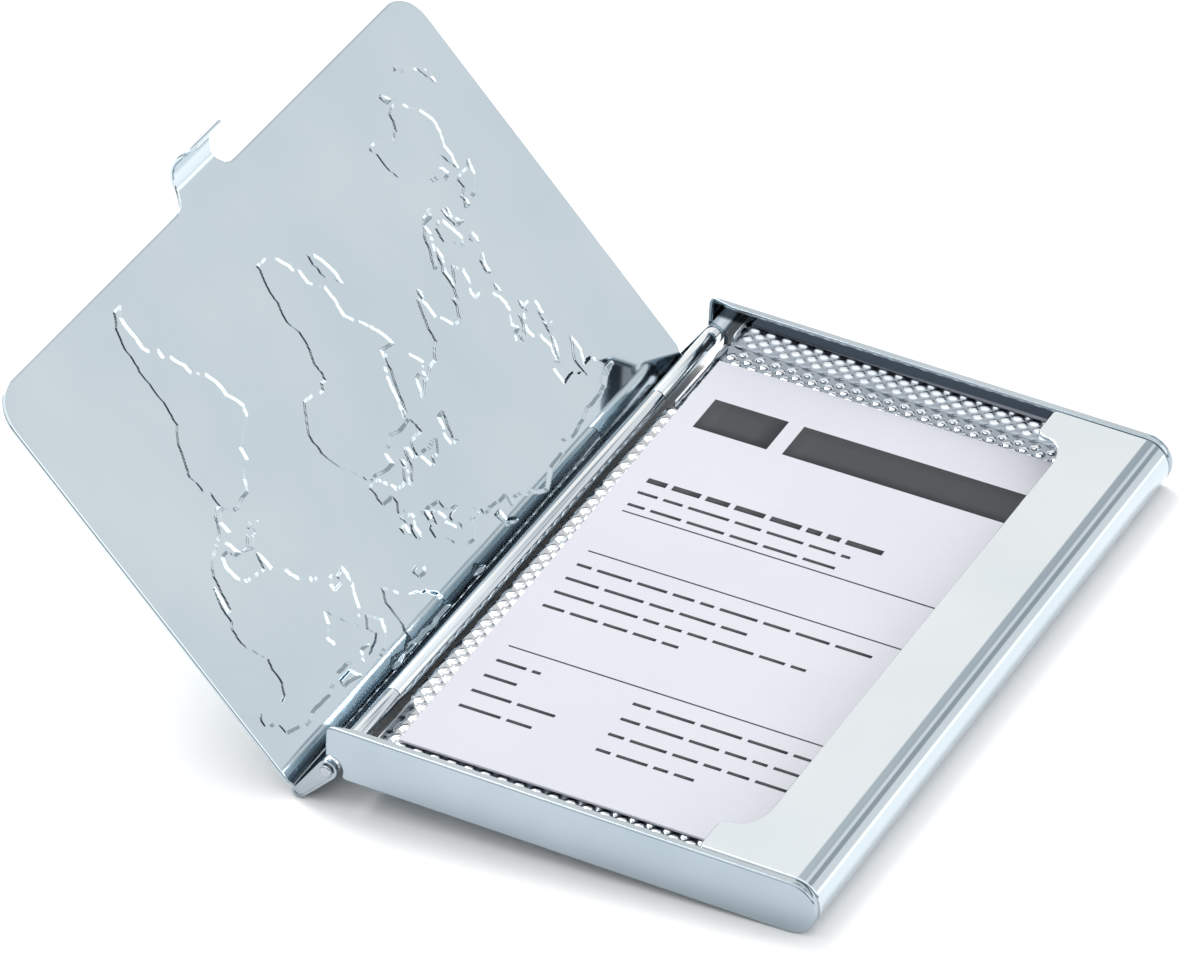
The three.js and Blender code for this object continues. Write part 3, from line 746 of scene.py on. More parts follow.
def lid_relief(s, v):
    """Height of the pressed land over the sea, and the small detent near the tip of the tongue."""
    x = s - PANEL_START + BEND_X
    distance, away = coast_distance(x, v)
    part = np.clip(distance / RELIEF_WIDTH + 0.5, 0, 1)
    rise = RELIEF_HEIGHT * part * part * (3 - 2 * part)
    steep = RELIEF_HEIGHT * 6 * part * (1 - part) / RELIEF_WIDTH
    detent_s = TONGUE_TIP - DETENT_ABOVE_FOOT
    dent, dent_s, dent_v = bump(s, v, detent_s, DETENT_HALF_WIDTH, DETENT_HALF_LENGTH, DETENT_HEIGHT)
    return rise - dent, steep * away[:, 0] - dent_s, steep * away[:, 1] - dent_v


def make_lid():
    end = LID_HALF_LENGTH + SHEET
    s_lines = join_lines(
        even_lines(-SHEET, BEND_START, SPINE_SPACING),
        even_lines(BEND_START, PANEL_START, BEND_SPACING),
        even_lines(PANEL_START, TONGUE_ARC_START, LID_SPACING),
        even_lines(TONGUE_ARC_START, TONGUE_DROP_START, TONGUE_ARC_SPACING),
        even_lines(TONGUE_DROP_START, TONGUE_TIP + SHEET, TONGUE_TIP_SPACING),
    )
    v_lines = even_lines(-end, end, LID_SPACING)
    middle_s = np.array([(a + b) / 2 for a, b in zip(s_lines, s_lines[1:])])
    middle_v = np.array([(a + b) / 2 for a, b in zip(v_lines, v_lines[1:])])
    cell_s, cell_v = (grid.ravel() for grid in np.meshgrid(middle_s, middle_v, indexing="ij"))
    distance, _ = coast_distance(cell_s - PANEL_START + BEND_X, cell_v)
    near_coast = np.abs(distance) < (RELIEF_WIDTH + LID_SPACING * math.sqrt(2)) / 2
    on_panel = (cell_s > PANEL_START) & (cell_s < FREE_EDGE)
    near_detent = (cell_s > TONGUE_DROP_START - 1) & (np.abs(cell_v) < DETENT_HALF_LENGTH + LID_SPACING)
    fine = ((near_coast & on_panel) | near_detent).reshape(len(middle_s), len(middle_v))
    sheet = Sheet(lid_path, lid_outline, s_lines, v_lines, lid_relief, fine)
    return sheet.build("relief_lid", TO_LID)


# ---------------------------------------------------------------- dimpled liner

class Surface:
    """Points and faces of one mesh, with points at the same place shared."""

    def __init__(self):
        self.points = []
        self.faces = []
        self.known = {}

    def point(self, x, y, z):
        key = (round(x, 4), round(y, 4), round(z, 4))
        if key not in self.known:
            self.known[key] = len(self.points)
            self.points.append((x, y, z))
        return self.known[key]

    def face(self, *loop):
        self.faces.append(list(loop))


def diamond(x, y):
    """Points around a diamond tile, from its right corner, with each side in equal steps."""
    reach = DIMPLE_PITCH / 2
    corners = [(x + reach, y), (x, y + reach), (x - reach, y), (x, y - reach)]
    points = []
    for (ax, ay), (bx, by) in zip(corners, corners[1:] + corners[:1]):
        for k in range(DIMPLE_SIDE_STEPS):
            part = k / DIMPLE_SIDE_STEPS
            points.append((ax + (bx - ax) * part, ay + (by - ay) * part))
    return points


def add_dimple(surface, x, y):
    """One raised round dimple with steep sides and a faintly crowned top, in the middle of its tile."""
    around = diamond(x, y)
    count = len(around)
    outer = [surface.point(px, py, LINER_TOP) for px, py in around]
    shoulder = LINER_TOP + DIMPLE_HEIGHT - DIMPLE_TOP_CROWN
    for radius, height in ((DIMPLE_RADIUS, LINER_TOP), (DIMPLE_TOP_RADIUS, shoulder)):
        inner = []
        for px, py in around:
            turn = math.atan2(py - y, px - x)
            inner.append(surface.point(x + radius * math.cos(turn), y + radius * math.sin(turn), height))
        for k in range(count):
            after = (k + 1) % count
            surface.face(outer[k], outer[after], inner[after], inner[k])
        outer = inner
    top = surface.point(x, y, LINER_TOP + DIMPLE_HEIGHT)
    for k in range(count):
        surface.face(outer[k], outer[(k + 1) % count], top)


def clip(loop, axis, limit, keep_above):
    """The part of a flat loop on one side of a line of constant x or y."""
    kept = []
    for here, there in zip(loop, loop[1:] + loop[:1]):
        here_in = (here[axis] >= limit) == keep_above
        there_in = (there[axis] >= limit) == keep_above
        if here_in:
            kept.append(here)
        if here_in != there_in:
            part = (limit - here[axis]) / (there[axis] - here[axis])
            kept.append(tuple(a + (b - a) * part for a, b in zip(here, there)))
    return kept


def close_below(surface, tiles, bottom):
    """Walls and a flat underside for a surface that was made of flat-edged tiles."""
    for tile in tiles:
        surface.face(*[surface.point(x, y, bottom) for x, y in reversed(tile)])
    sides = {(a, b) for loop in surface.faces for a, b in zip(loop, loop[1:] + loop[:1])}
    for a, b in sorted(sides):
        (ax, ay, az), (bx, by, bz) = surface.points[a], surface.points[b]
        if (b, a) not in sides and az > bottom and bz > bottom:
            surface.face(b, a, surface.point(ax, ay, bottom), surface.point(bx, by, bottom))


def make_liner():
    """The floor plate: rows of dimples, staggered, cut straight at the plate's edges."""
    surface = Surface()
    reach = DIMPLE_PITCH / 2
    low_y, high_y = LINER_EDGE_GAP, CASE_LENGTH - LINER_EDGE_GAP
    first_row = MIDDLE - DIMPLE_PITCH * (DIMPLE_ROWS - 1) / 2
    tiles = []
    for column in range(-1, 2 * DIMPLE_COLUMNS + 3):
        for row in range(-2, 2 * DIMPLE_ROWS + 2):
            if (column + row) % 2:
                continue
            x, y = DIMPLE_FIRST_X + column * reach, first_row + row * reach
            beside_knuckle = abs(y - MIDDLE) > MIDDLE - KNUCKLE_NOTCH_LENGTH
            low_x = FLANGE_X - FLANGE_HALF_THICKNESS if beside_knuckle else LINER_LEFT
            tile = diamond(x, y)
            cut = clip(clip(tile, 0, low_x, True), 0, LINER_RIGHT, False)
            cut = clip(clip(cut, 1, low_y, True), 1, high_y, False)
            if len(cut) < 3:
                continue
            tiles.append(cut)
            if cut == tile:
                add_dimple(surface, x, y)
            else:
                surface.face(*[surface.point(*spot, LINER_TOP) for spot in cut])
    close_below(surface, tiles, LINER_BOTTOM)
    return add_mesh("dimpled_liner", surface.points, surface.faces, TO_BODY)


def make_flange(name, start, end, round_end):
    """The liner's edge turned up beside a knuckle, with its corner rounded at one end."""
    half = FLANGE_HALF_THICKNESS
    corner = FLANGE_TOP - LINER_TOP
    stations = []
    for k in range(FLANGE_CORNER_STEPS + 1):
        turn = math.pi / 2 * k / FLANGE_CORNER_STEPS
        stations.append((corner * (1 - math.cos(turn)), LINER_TOP + corner * math.sin(turn)))
    stations.append((abs(end - start), FLANGE_TOP))
    surface = Surface()
    loops = []
    for along, top in stations:
        y = start + along if round_end == "low" else end - along
        loop = [(FLANGE_X - half, y, LINER_BOTTOM)]
        for k in range(FLANGE_RIM_STEPS + 1):
            turn = math.pi * k / FLANGE_RIM_STEPS
            loop.append((FLANGE_X - half * math.cos(turn), y, top - half + half * math.sin(turn)))
        loop.append((FLANGE_X + half, y, LINER_BOTTOM))
        loops.append([surface.point(*spot) for spot in loop])
    if round_end == "low":
        loops.reverse()
    for here, there in zip(loops, loops[1:]):
        for k in range(len(here)):
            after = (k + 1) % len(here)
            surface.face(here[k], here[after], there[after], there[k])
    surface.face(*reversed(loops[0]))
    surface.face(*loops[-1])
    return add_mesh(name, surface.points, surface.faces, TO_BODY)


# ---------------------------------------------------------------- end caps

def arc(x, z, radius, start, end, steps):
    turns = [math.radians(start + (end - start) * k / steps) for k in range(steps + 1)]
    return [(x + radius * math.cos(turn), z + radius * math.sin(turn)) for turn in turns]


def cap_outline():
    """Outline of an end cap, and for each point whether the flange stands behind it."""
    top = math.degrees(math.acos((CAP_LEFT - CAP_NOTCH_X) / CAP_NOTCH_RADIUS))
    foot = math.degrees(math.asin((CAP_FOOT_Z - CAP_NOTCH_Z) / CAP_NOTCH_RADIUS))
    foot_x = CAP_NOTCH_X + CAP_NOTCH_RADIUS * math.cos(math.radians(foot))
    left = CAP_LEFT + CAP_CORNER
    parts = [k / CAP_SIDE_STEPS for k in range(CAP_SIDE_STEPS)]
    flanged = [(CAP_FOOT_X + (SIDE_X - CAP_FOOT_X) * part, 0.0) for part in parts]
    flanged += arc(SIDE_X, SIDE_RADIUS, SIDE_RADIUS, -90, 90, CAP_ARC_STEPS)
    flanged += [(SIDE_X + (left - SIDE_X) * part, CASE_HEIGHT) for part in parts[1:]]
    corner = arc(left, CASE_HEIGHT - CAP_CORNER, CAP_CORNER, 90, 180, CAP_CORNER_STEPS)
    notch = arc(CAP_NOTCH_X, CAP_NOTCH_Z, CAP_NOTCH_RADIUS, top, foot, CAP_NOTCH_STEPS)
    toe = [(foot_x + (CAP_FOOT_X - foot_x) * CAP_TOE_PART, CAP_FOOT_Z * CAP_TOE_RISE)]
    open_side = corner + notch + toe
    return flanged + open_side, [True] * len(flanged) + [False] * len(open_side)


def inset(loop, distance):
    """The loop moved inwards, each point along the mean of its two sides' directions."""
    moved = []
    for before, here, after in zip(loop[-1:] + loop[:-1], loop, loop[1:] + loop[:1]):
        ax, az = here[0] - before[0], here[1] - before[1]
        bx, bz = after[0] - here[0], after[1] - here[1]
        a_size, b_size = math.hypot(ax, az), math.hypot(bx, bz)
        nx, nz = -(az / a_size + bz / b_size), ax / a_size + bx / b_size
        size = math.hypot(nx, nz)
        grow = 2 / max(size * size, 1.0)
        moved.append((here[0] + nx * grow * distance, here[1] + nz * grow * distance))
    return moved


def make_cap(name, y_of):
    """An end cap: a rounded face and a flange behind it. y_of gives a depth behind the face as y."""
    outline, flanged = cap_outline()
    rings = []
    for k in range(CAP_ROUND_STEPS + 1):
        turn = math.pi / 2 * k / CAP_ROUND_STEPS
        shrink = CAP_EDGE_ROUND * (1 - math.sin(turn))
        rings.append((shrink, [CAP_EDGE_ROUND * (1 - math.cos(turn))] * len(outline)))
    ends = [CAP_DEPTH if has_flange else SHEET for has_flange in flanged]
    rings.append((0.0, [end - CAP_FLANGE_ROUND for end in ends]))
    rings.append((CAP_FLANGE_ROUND, ends))
    rings.append((SHEET - CAP_FLANGE_ROUND, ends))
    inside = [min(end, SHEET + CAP_INSIDE_ROUND) for end in ends]
    rings.append((SHEET, inside))
    rings.append((SHEET + CAP_INSIDE_ROUND, [SHEET] * len(outline)))
    surface = Surface()
    loops = []
    for shrink, depths in rings:
        loop = inset(outline, shrink) if shrink else outline
        base = len(surface.points)
        surface.points += [(x, y_of(depth), z) for (x, z), depth in zip(loop, depths)]
        loops.append(list(range(base, base + len(outline))))
    mirrored = y_of(1) < y_of(0)
    for here, there in zip(loops, loops[1:]):
        for k in range(len(here)):
            after = (k + 1) % len(here)
            quad = [here[k], there[k], there[after], here[after]]
            surface.face(*(reversed(quad) if mirrored else quad))
    surface.face(*(reversed(loops[0]) if mirrored else loops[0]))
    surface.face(*(loops[-1] if mirrored else reversed(loops[-1])))
    cap = add_mesh(name, surface.points, surface.faces, TO_BODY)
    keep_flat(cap)
    return cap


def keep_flat(piece):
    """Weighted shading, so that large flat faces stay flat up to their rounded edges."""
    weighted = piece.modifiers.new("flat_faces", "WEIGHTED_NORMAL")
    weighted.mode = "FACE_AREA_WITH_ANGLE"
    weighted.weight = 100
    weighted.keep_sharp = True


# ---------------------------------------------------------------- card

def card_height(x, y):
    """Height of the card's top over its flat bottom: a slight bow along its length."""
    along, across = math.sin(math.pi * y / CARD_LENGTH), math.sin(math.pi * x / CARD_WIDTH)
    return CARD_THICKNESS + CARD_BOW * along * across


TO_CARD = (
    TO_BODY
    @ Matrix.Translation((*CARD_CORNER, CARD_BOTTOM))
    @ Matrix.Rotation(CARD_TURN, 4, "Z")
)


def add_slab(surface, x_low, x_high, y_low, y_high, bottom, top, spacing):
    """A thin block that follows the card's bow, between two heights over the bow."""
    columns = max(1, math.ceil((x_high - x_low) / spacing))
    rows = max(1, math.ceil((y_high - y_low) / spacing))

    def level(height):
        grid = []
        for i in range(columns + 1):
            x = x_low + (x_high - x_low) * i / columns
            ys = [y_low + (y_high - y_low) * j / rows for j in range(rows + 1)]
            start = len(surface.points)
            surface.points += [(x, y, height + card_height(x, y)) for y in ys]
            grid.append(list(range(start, start + rows + 1)))
        return grid

    upper, lower = level(top), level(bottom)
    for i in range(columns):
        for j in range(rows):
            surface.face(upper[i][j], upper[i + 1][j], upper[i + 1][j + 1], upper[i][j + 1])
            surface.face(lower[i][j + 1], lower[i + 1][j + 1], lower[i + 1][j], lower[i][j])
    around = [(i, 0) for i in range(columns)] + [(columns, j) for j in range(rows)]
    around += [(i, rows) for i in range(columns, 0, -1)] + [(0, j) for j in range(rows, 0, -1)]
    for (i, j), (k, m) in zip(around, around[1:] + around[:1]):
        surface.face(lower[i][j], lower[k][m], upper[k][m], upper[i][j])


def make_card():
    surface = Surface()
    add_slab(surface, 0, CARD_WIDTH, 0, CARD_LENGTH, -CARD_THICKNESS, 0, CARD_SPACING)
    card = add_mesh("bowed_card", surface.points, surface.faces, TO_CARD)
    edges = card.modifiers.new("soft_edges", "BEVEL")
    edges.width = CARD_EDGE_ROUND * MM
    edges.segments = 2
    edges.limit_method = "ANGLE"
    edges.angle_limit = math.radians(50)
    keep_flat(card)
    return card


def make_print():
    """Generic marks in the places of the card's print: plain bars, rules and rows of short bars."""
    dice = random.Random(PRINT_SEED)
    spots = PRINT_BARS + PRINT_RULES
    for start, end, y, height in PRINT_LINES:
        x = start
        while x < end - 1:
            stop = min(x + dice.uniform(*WORD_LENGTHS), end)
            spots.append((x, stop, y, height))
            x = stop + WORD_GAP
    surface = Surface()
    for start, end, y, height in spots:
        low_y, high_y = y - height / 2, y + height / 2
        add_slab(surface, start, end, low_y, high_y, INK_LIFT, INK_LIFT + INK_THICKNESS, PRINT_SPACING)
    return add_mesh("card_marks", surface.points, surface.faces, TO_CARD)


# ---------------------------------------------------------------- materials

# Finish of the steel: sizes and depths in millimetres
SMEAR_SIZE = 14.0
SCRATCH_WIDTH = 4.0
SCRATCH_LENGTH = 60.0
SCRATCH_DEPTH = 0.004
# How much wider the tone changes than the wave, how many scratches to a stretch, and how strong they are
TONE_OVER_WAVE = 2.5
SCRATCHES = 9.0
SCRATCH_STRENGTH = 0.10
# Finish of the paper, in millimetres
FIBRE_SIZE = 0.5
FIBRE_DEPTH = 0.01
CLOUD_SIZE = 18.0


def node(tree, kind, **settings):
    made = tree.nodes.new(kind)
    for key, value in settings.items():
        if key in made.inputs:
            made.inputs[key].default_value = value
        else:
            setattr(made, key, value)
    return made


def noise_node(tree, coordinates, scale, detail=3.0, roughness=0.5, distortion=0.0):
    made = node(tree, "ShaderNodeTexNoise", Scale=scale, Detail=detail, Roughness=roughness)
    made.inputs["Distortion"].default_value = distortion
    tree.links.new(coordinates, made.inputs["Vector"])
    return made.outputs["Fac"]


def spread(tree, value, low, high, to_low, to_high):
    made = node(tree, "ShaderNodeMapRange")
    for key, number in (("From Min", low), ("From Max", high), ("To Min", to_low), ("To Max", to_high)):
        made.inputs[key].default_value = number
    tree.links.new(value, made.inputs["Value"])
    return made.outputs["Result"]


def add_painted_shade(tree, place, colour, direction, start, end, shade):
    """Painted shade: the colour turns darker past a plane, coming in from start to end, in millimetres along the
    direction.
    """
    reach = node(tree, "ShaderNodeVectorMath", operation="DOT_PRODUCT")
    reach.inputs[1].default_value = direction
    tree.links.new(place, reach.inputs[0])
    mix = node(tree, "ShaderNodeMix", data_type="RGBA")
    mix.inputs["B"].default_value = (*shade, 1)
    tree.links.new(spread(tree, reach.outputs["Value"], start * MM, end * MM, 0, 1), mix.inputs["Factor"])
    tree.links.new(colour, mix.inputs["A"])
    return mix.outputs["Result"]


def steel(name, dark, light, roughness, wave_height, wave_size, brushed=0.0, painted_shade=None):
    """Polished steel: a slight change of tone, soft smears, fine scratches and a gentle wave, with a painted shade
    over the colour where one is given.

    dark and light are the ends of the tone, and the wave's height and size are in millimetres.
    """
    material = bpy.data.materials.new(name)
    material.use_nodes = True
    tree = material.node_tree
    shader = tree.nodes["Principled BSDF"]
    shader.inputs["Metallic"].default_value = 1.0
    place = node(tree, "ShaderNodeTexCoord").outputs["Object"]
    tone = noise_node(tree, place, 1 / (wave_size * TONE_OVER_WAVE * MM), 4.0)
    mix = node(tree, "ShaderNodeMix", data_type="RGBA")
    mix.inputs["A"].default_value = (*dark, 1)
    mix.inputs["B"].default_value = (*light, 1)
    tree.links.new(spread(tree, tone, 0.3, 0.7, 0, 1), mix.inputs["Factor"])
    colour = mix.outputs["Result"]
    # Painted shade over the colour, where one is given
    if painted_shade:
        colour = add_painted_shade(tree, place, colour, *painted_shade)
    tree.links.new(colour, shader.inputs["Base Color"])
    smear = noise_node(tree, place, 1 / (SMEAR_SIZE * MM), 5.0, 0.6, 0.8)
    polish = spread(tree, smear, 0.35, 0.75, roughness * 0.7, roughness * 1.6)
    tree.links.new(polish, shader.inputs["Roughness"])
    stretch = node(tree, "ShaderNodeMapping")
    across, along = 1 / (SCRATCH_WIDTH * MM), 1 / (SCRATCH_LENGTH * MM)
    stretch.inputs["Scale"].default_value = (across, along, across)
    tree.links.new(place, stretch.inputs["Vector"])
    scratch = node(tree, "ShaderNodeTexNoise", Scale=SCRATCHES, Detail=6.0, Roughness=0.7)
    tree.links.new(stretch.outputs["Vector"], scratch.inputs["Vector"])
    fine = node(tree, "ShaderNodeBump", Strength=SCRATCH_STRENGTH + brushed, Distance=SCRATCH_DEPTH * MM)
    tree.links.new(scratch.outputs["Fac"], fine.inputs["Height"])
    wave = noise_node(tree, place, 1 / (wave_size * MM), 1.5, 0.4)
    soft = node(tree, "ShaderNodeBump", Strength=1.0, Distance=wave_height * MM)
    tree.links.new(wave, soft.inputs["Height"])
    tree.links.new(fine.outputs["Normal"], soft.inputs["Normal"])
    tree.links.new(soft.outputs["Normal"], shader.inputs["Normal"])
    return material


def paper(name, dark, light, roughness):
    """Smooth card stock: faint fibres in tone and height."""
    material = bpy.data.materials.new(name)
    material.use_nodes = True
    tree = material.node_tree
    shader = tree.nodes["Principled BSDF"]
    shader.inputs["Specular IOR Level"].default_value = 0.3
    place = node(tree, "ShaderNodeTexCoord").outputs["Object"]
    fibre = noise_node(tree, place, 1 / (FIBRE_SIZE * MM), 6.0, 0.7, 1.5)
    cloud = noise_node(tree, place, 1 / (CLOUD_SIZE * MM), 3.0)
    mix = node(tree, "ShaderNodeMix", data_type="RGBA")
    mix.inputs["A"].default_value = (*dark, 1)
    mix.inputs["B"].default_value = (*light, 1)
    both = node(tree, "ShaderNodeMath", operation="ADD")
    tree.links.new(spread(tree, fibre, 0.35, 0.65, 0, 0.5), both.inputs[0])
    tree.links.new(spread(tree, cloud, 0.3, 0.7, 0, 0.5), both.inputs[1])
    tree.links.new(both.outputs[0], mix.inputs["Factor"])
    tree.links.new(mix.outputs["Result"], shader.inputs["Base Color"])
    matt = spread(tree, fibre, 0.3, 0.7, roughness * 0.9, roughness * 1.1)
    tree.links.new(matt, shader.inputs["Roughness"])
    rough = node(tree, "ShaderNodeBump", Strength=0.25, Distance=FIBRE_DEPTH * MM)
    tree.links.new(fibre, rough.inputs["Height"])
    tree.links.new(rough.outputs["Normal"], shader.inputs["Normal"])
    return material


def dress(piece, material):
    piece.data.materials.clear()
    piece.data.materials.append(material)


WELD_REACH = 0.001
FLAT_ANGLE = math.radians(0.5)
SHARP_ANGLE = math.radians(40)


def smooth_cad(name, material, edge):
    """A CAD node that keeps its shape, with its edges broken and its round faces shaded smooth."""
    piece = frame["nodes"][name]
    dress(piece, material)
    weld = piece.modifiers.new("weld", "WELD")
    weld.merge_threshold = WELD_REACH * MM
    flat = piece.modifiers.new("flat", "DECIMATE")
    flat.decimate_type = "DISSOLVE"
    flat.angle_limit = FLAT_ANGLE
    bevel = piece.modifiers.new("edges", "BEVEL")
    bevel.width = edge * MM
    bevel.segments = 3
    bevel.limit_method = "ANGLE"
    bevel.angle_limit = SHARP_ANGLE
    bevel.harden_normals = True
    piece.data.polygons.foreach_set("use_smooth", [True] * len(piece.data.polygons))
    return piece


# Painted shades on the steels, standing in for shade and dark reflections: the direction each lies in, where it
# starts and is full along it, and its colour
# Width over which the painted shade on the lid's bend comes in, in millimetres
SPINE_SHADE_FADE = 0.3
# Heights over the liner's ground where the painted shade in the dimple gaps starts and is full, in millimetres
GAP_SHADE_RANGE = (0.12, 0.03)
UP_BODY = TO_BODY.to_3x3().normalized() @ Vector((0, 0, 1))
LID_TO_HINGE = TO_LID.to_3x3().normalized() @ Vector((-1, 0, 0))
body_floor = TO_BODY.translation.dot(UP_BODY) / MM
bend_end = TO_LID.translation.dot(LID_TO_HINGE) / MM - BEND_X
wall_dark = body_floor + WALL_SHADE_FROM
gap_dark = -body_floor - LINER_TOP
# Painted shade on the lid's bend and spine: dark from where the flat panel meets the bend, towards the hinge
spine_painted_shade = (LID_TO_HINGE, bend_end, bend_end + SPINE_SHADE_FADE, (0.13, 0.16, 0.19))
# Painted shade on the wall inside the case: dark from a height over the case's bottom, in place of its dark
# reflection
wall_painted_shade = (UP_BODY, wall_dark, wall_dark + WALL_SHADE_FADE, (0.07, 0.09, 0.11))
# Painted shade in the gaps between the dimples: darker towards the liner's ground
gap_starts, gap_full = (gap_dark - height for height in GAP_SHADE_RANGE)
gap_painted_shade = (-UP_BODY, gap_starts, gap_full, (0.42, 0.46, 0.50))

# Each steel has the dark and light end of its tone, its roughness, and its wave's height and size; some also a
# painted shade

shell_steel = steel("shell_steel", (0.55, 0.625, 0.675), (0.61, 0.675, 0.72), 0.05, 0.004, 9.0)
# The caps' steel is given a darker tone than the shell's as painted shade
cap_steel = steel("cap_steel", (0.37, 0.44, 0.49), (0.43, 0.50, 0.55), 0.09, 0.006, 7.0)
# The wall inside the case carries a painted dark band towards its top
wall_steel_painted_shade = steel(
    "wall_steel_painted_shade", (0.80, 0.83, 0.86), (0.88, 0.90, 0.92), 0.03, 0.001, 7.0, painted_shade=wall_painted_shade
)
# The liner carries painted shade in the gaps between its dimples
liner_steel = steel(
    "liner_steel", (0.78, 0.81, 0.84), (0.88, 0.90, 0.92), 0.10, 0.002, 4.0, painted_shade=gap_painted_shade
)
hinge_steel = steel("hinge_steel", (0.60, 0.66, 0.70), (0.68, 0.73, 0.76), 0.05, 0.002, 6.0)
pin_steel = steel("pin_steel", (0.40, 0.44, 0.48), (0.52, 0.56, 0.60), 0.18, 0.002, 2.0, 0.2)
# The lid carries painted shade on its bend and spine
lid_steel = steel(
    "lid_steel", (0.54, 0.62, 0.67), (0.60, 0.675, 0.72), 0.06, 0.05, 10.0, painted_shade=spine_painted_shade
)
# The ears' steel is darker than the rest as painted shade in their recesses
ear_steel = steel("ear_steel", (0.32, 0.37, 0.41), (0.42, 0.47, 0.51), 0.10, 0.002, 3.0)
card_stock = paper("card_stock", (0.49, 0.50, 0.55), (0.53, 0.54, 0.585), 0.55)
card_ink = paper("card_ink", (0.03, 0.034, 0.038), (0.045, 0.05, 0.055), 0.7)
floor_paint = paper("floor_paint", (0.88, 0.885, 0.89), (0.90, 0.905, 0.91), 0.8)


# ---------------------------------------------------------------- pieces

shell = make_shell()
liner = make_liner()
flange_low, flange_high = CAP_DEPTH + SEAM, KNUCKLE_NOTCH_LENGTH
near_flange = make_flange("near_liner_flange", flange_low, flange_high, "low")
far_flange = make_flange("far_liner_flange", CASE_LENGTH - flange_high, CASE_LENGTH - flange_low, "high")
near_cap = make_cap("near_cap", lambda depth: depth)
far_cap = make_cap("far_cap", lambda depth: CASE_LENGTH - depth)
lid = make_lid()
card = make_card()
marks = make_print()

for piece, material, body, slot, nodes in (
    (shell, shell_steel, "case_body", "body_steel", ["body_shell"]),
    (near_cap, cap_steel, "case_body", "cap_steel", ["front_end_cap"]),
    (far_cap, cap_steel, "case_body", "cap_steel", ["far_end_cap"]),
    (liner, liner_steel, "case_body", "liner_steel", ["floor_liner"]),
    (near_flange, liner_steel, "case_body", "liner_steel", ["floor_liner"]),
    (far_flange, liner_steel, "case_body", "liner_steel", ["floor_liner"]),
    (lid, lid_steel, "lid", "lid_steel", ["lid_shell"]),
    (card, card_stock, "card", "card_stock", ["card"]),
    (marks, card_ink, "card", "card_stock", ["card"]),
):
    dress(piece, material)
    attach(piece, body)
    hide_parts(*nodes)

# A cap's last face is the wall inside the case, whose steel has a painted shade band towards the top
for cap in (near_cap, far_cap):
    cap.data.materials.append(wall_steel_painted_shade)
    cap.data.polygons[-1].material_index = 1

for name, material, edge in (
    ("middle_knuckle", hinge_steel, 0.1),
    ("front_knuckle", hinge_steel, 0.1),
    ("far_knuckle", hinge_steel, 0.1),
    ("hinge_pin", pin_steel, 0.05),
    ("front_ear", ear_steel, 0.06),
    ("far_ear", ear_steel, 0.06),
):
    smooth_cad(name, material, edge)


# ---------------------------------------------------------------- studio

CAMERA_PLACE = Vector((0.3755, -0.7393, 0.5672))
CAMERA_AIM = Vector((-0.0025, 0.0068, 0.0107))
CAMERA_ROLL = math.radians(-0.96)
CAMERA_LENS = 262.5
SENSOR_WIDTH = 36
VIEW_RANGE = (0.01, 50)
FLOOR_SIZE = 6.0
KEY_PLACE = (-0.7, 0.5, 1.1)
KEY_SIZE = 0.7
KEY_POWER = 11.0


def make_floor():
    half = FLOOR_SIZE / 2
    corners = [(-half, -half, 0), (half, -half, 0), (half, half, 0), (-half, half, 0)]
    floor = add_mesh("floor", corners, [[0, 1, 2, 3]], Matrix.Identity(4))
    dress(floor, floor_paint)


def make_camera():
    data = bpy.data.cameras.new("camera")
    data.sensor_width = SENSOR_WIDTH
    data.lens = CAMERA_LENS
    data.clip_start, data.clip_end = VIEW_RANGE
    camera = bpy.data.objects.new("camera", data)
    camera.rotation_mode = "QUATERNION"
    camera.location = CAMERA_PLACE
    look = (CAMERA_AIM - CAMERA_PLACE).to_track_quat("-Z", "Y")
    camera.rotation_quaternion = look @ Quaternion((0, 0, 1), CAMERA_ROLL)
    bpy.context.scene.collection.objects.link(camera)
    bpy.context.scene.camera = camera


def make_key():
    """The one lamp, a square soft box aimed at the case."""
    data = bpy.data.lights.new("key", "AREA")
    data.shape = "SQUARE"
    data.size = KEY_SIZE
    data.energy = KEY_POWER
    light = bpy.data.objects.new("key", data)
    light.location = KEY_PLACE
    light.rotation_mode = "QUATERNION"
    light.rotation_quaternion = (-Vector(KEY_PLACE)).to_track_quat("-Z", "Y")
    bpy.context.scene.collection.objects.link(light)


# Brightness of the studio from the horizon to straight overhead: sine of the elevation, and colour
SKY = [
    (0.0, (0.03, 0.035, 0.04)),
    (0.10, (0.05, 0.06, 0.07)),
    (0.17, (0.60, 0.65, 0.70)),
    (0.24, (0.98, 0.99, 1.0)),
    (0.7, (1.0, 1.0, 1.0)),
    (1.0, (1.0, 1.0, 1.0)),
]
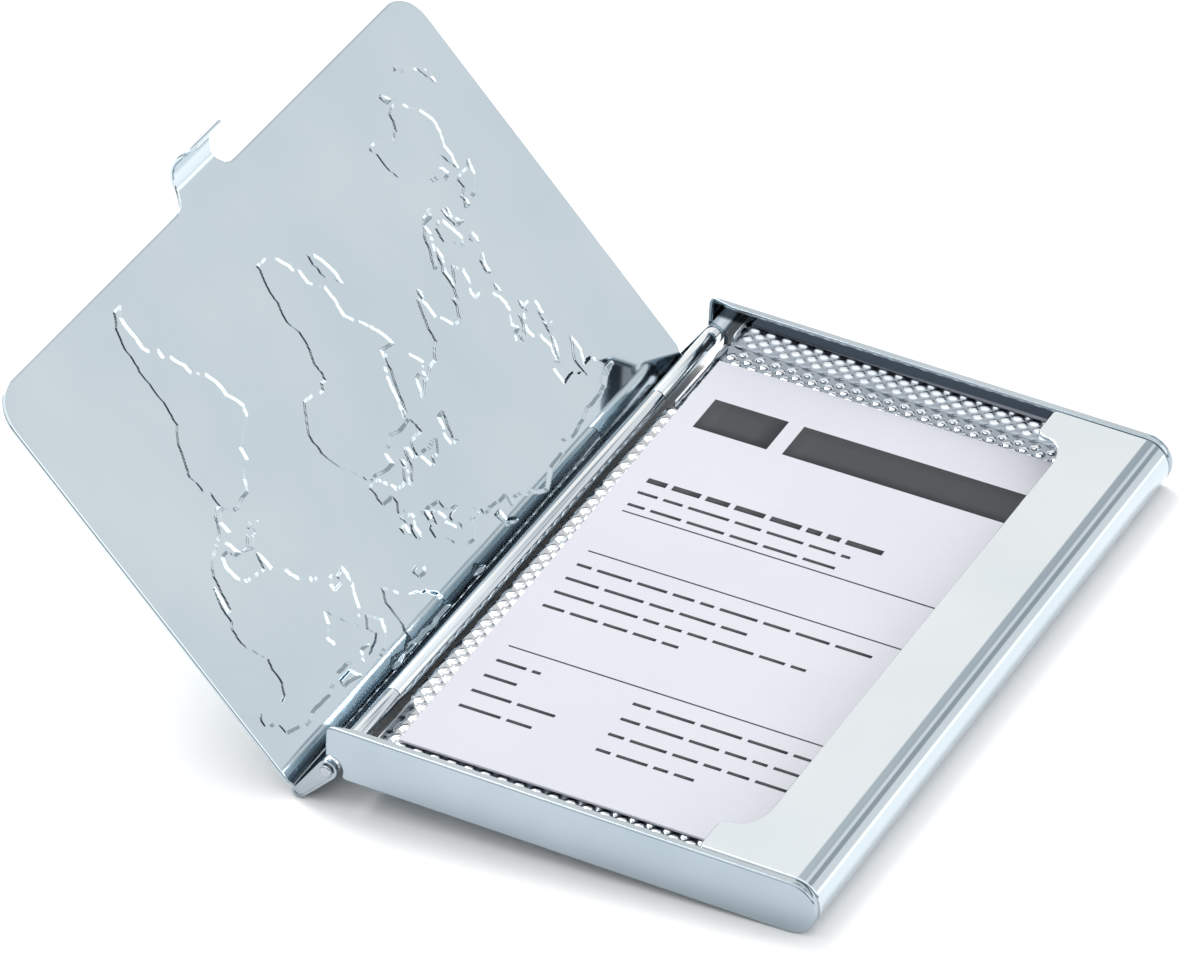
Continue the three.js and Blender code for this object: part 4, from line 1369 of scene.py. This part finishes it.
# Soft boxes and dark screens over it: direction, angles where the edge starts and ends, and colour
SCREENS = [
    ((0.80, 0.60, 0.10), 14, 26, (1.0, 1.0, 1.0)),
    ((-0.52, 0.74, 0.42), 20, 28, (1.33, 1.26, 1.20)),
    ((0.02, 0.74, 0.67), 7, 13, (0.46, 0.50, 0.53)),
    ((0.83, 0.25, 0.50), 16, 22, (2.0, 2.0, 2.0)),
    ((0.67, 0.74, 0.07), 3, 6, (1.7, 1.7, 1.7)),
    ((0.42, 0.74, 0.52), 4, 8, (0.45, 0.49, 0.52)),
    ((0.0, 0.0, 1.0), 28, 55, (1.35, 1.35, 1.35)),
    ((0.30, -0.95, 0.20), 16, 26, (0.035, 0.04, 0.045)),
    ((-0.60, -0.80, 0.10), 10, 20, (0.035, 0.04, 0.045)),
]


def add_screen(tree, place, under, direction, full, none, colour):
    """A round soft-edged patch of one colour over the studio's brightness."""
    aim = node(tree, "ShaderNodeVectorMath", operation="DOT_PRODUCT")
    aim.inputs[1].default_value = Vector(direction).normalized()
    tree.links.new(place, aim.inputs[0])
    cover = node(tree, "ShaderNodeMapRange", interpolation_type="SMOOTHSTEP")
    cover.inputs["From Min"].default_value = math.cos(math.radians(none))
    cover.inputs["From Max"].default_value = math.cos(math.radians(full))
    tree.links.new(aim.outputs["Value"], cover.inputs["Value"])
    mix = node(tree, "ShaderNodeMix", data_type="RGBA")
    mix.inputs["B"].default_value = (*colour, 1)
    tree.links.new(cover.outputs["Result"], mix.inputs["Factor"])
    tree.links.new(under, mix.inputs["A"])
    return mix.outputs["Result"]


def make_sky():
    world = bpy.data.worlds.new("studio")
    bpy.context.scene.world = world
    world.use_nodes = True
    tree = world.node_tree
    background = tree.nodes["Background"]
    place = node(tree, "ShaderNodeTexCoord").outputs["Generated"]
    split = node(tree, "ShaderNodeSeparateXYZ")
    tree.links.new(place, split.inputs["Vector"])
    ramp = node(tree, "ShaderNodeValToRGB")
    stops = ramp.color_ramp.elements
    for spot, colour in SKY[1:-1]:
        stops.new(spot).color = (*colour, 1)
    stops[0].color = (*SKY[0][1], 1)
    stops[-1].color = (*SKY[-1][1], 1)
    tree.links.new(split.outputs["Z"], ramp.inputs["Fac"])
    brightness = ramp.outputs["Color"]
    for screen in SCREENS:
        brightness = add_screen(tree, place, brightness, *screen)
    tree.links.new(brightness, background.inputs["Color"])
    background.inputs["Strength"].default_value = 1.0


make_floor()
make_camera()
make_sky()
make_key()
bpy.context.scene.view_settings.view_transform = "Standard"
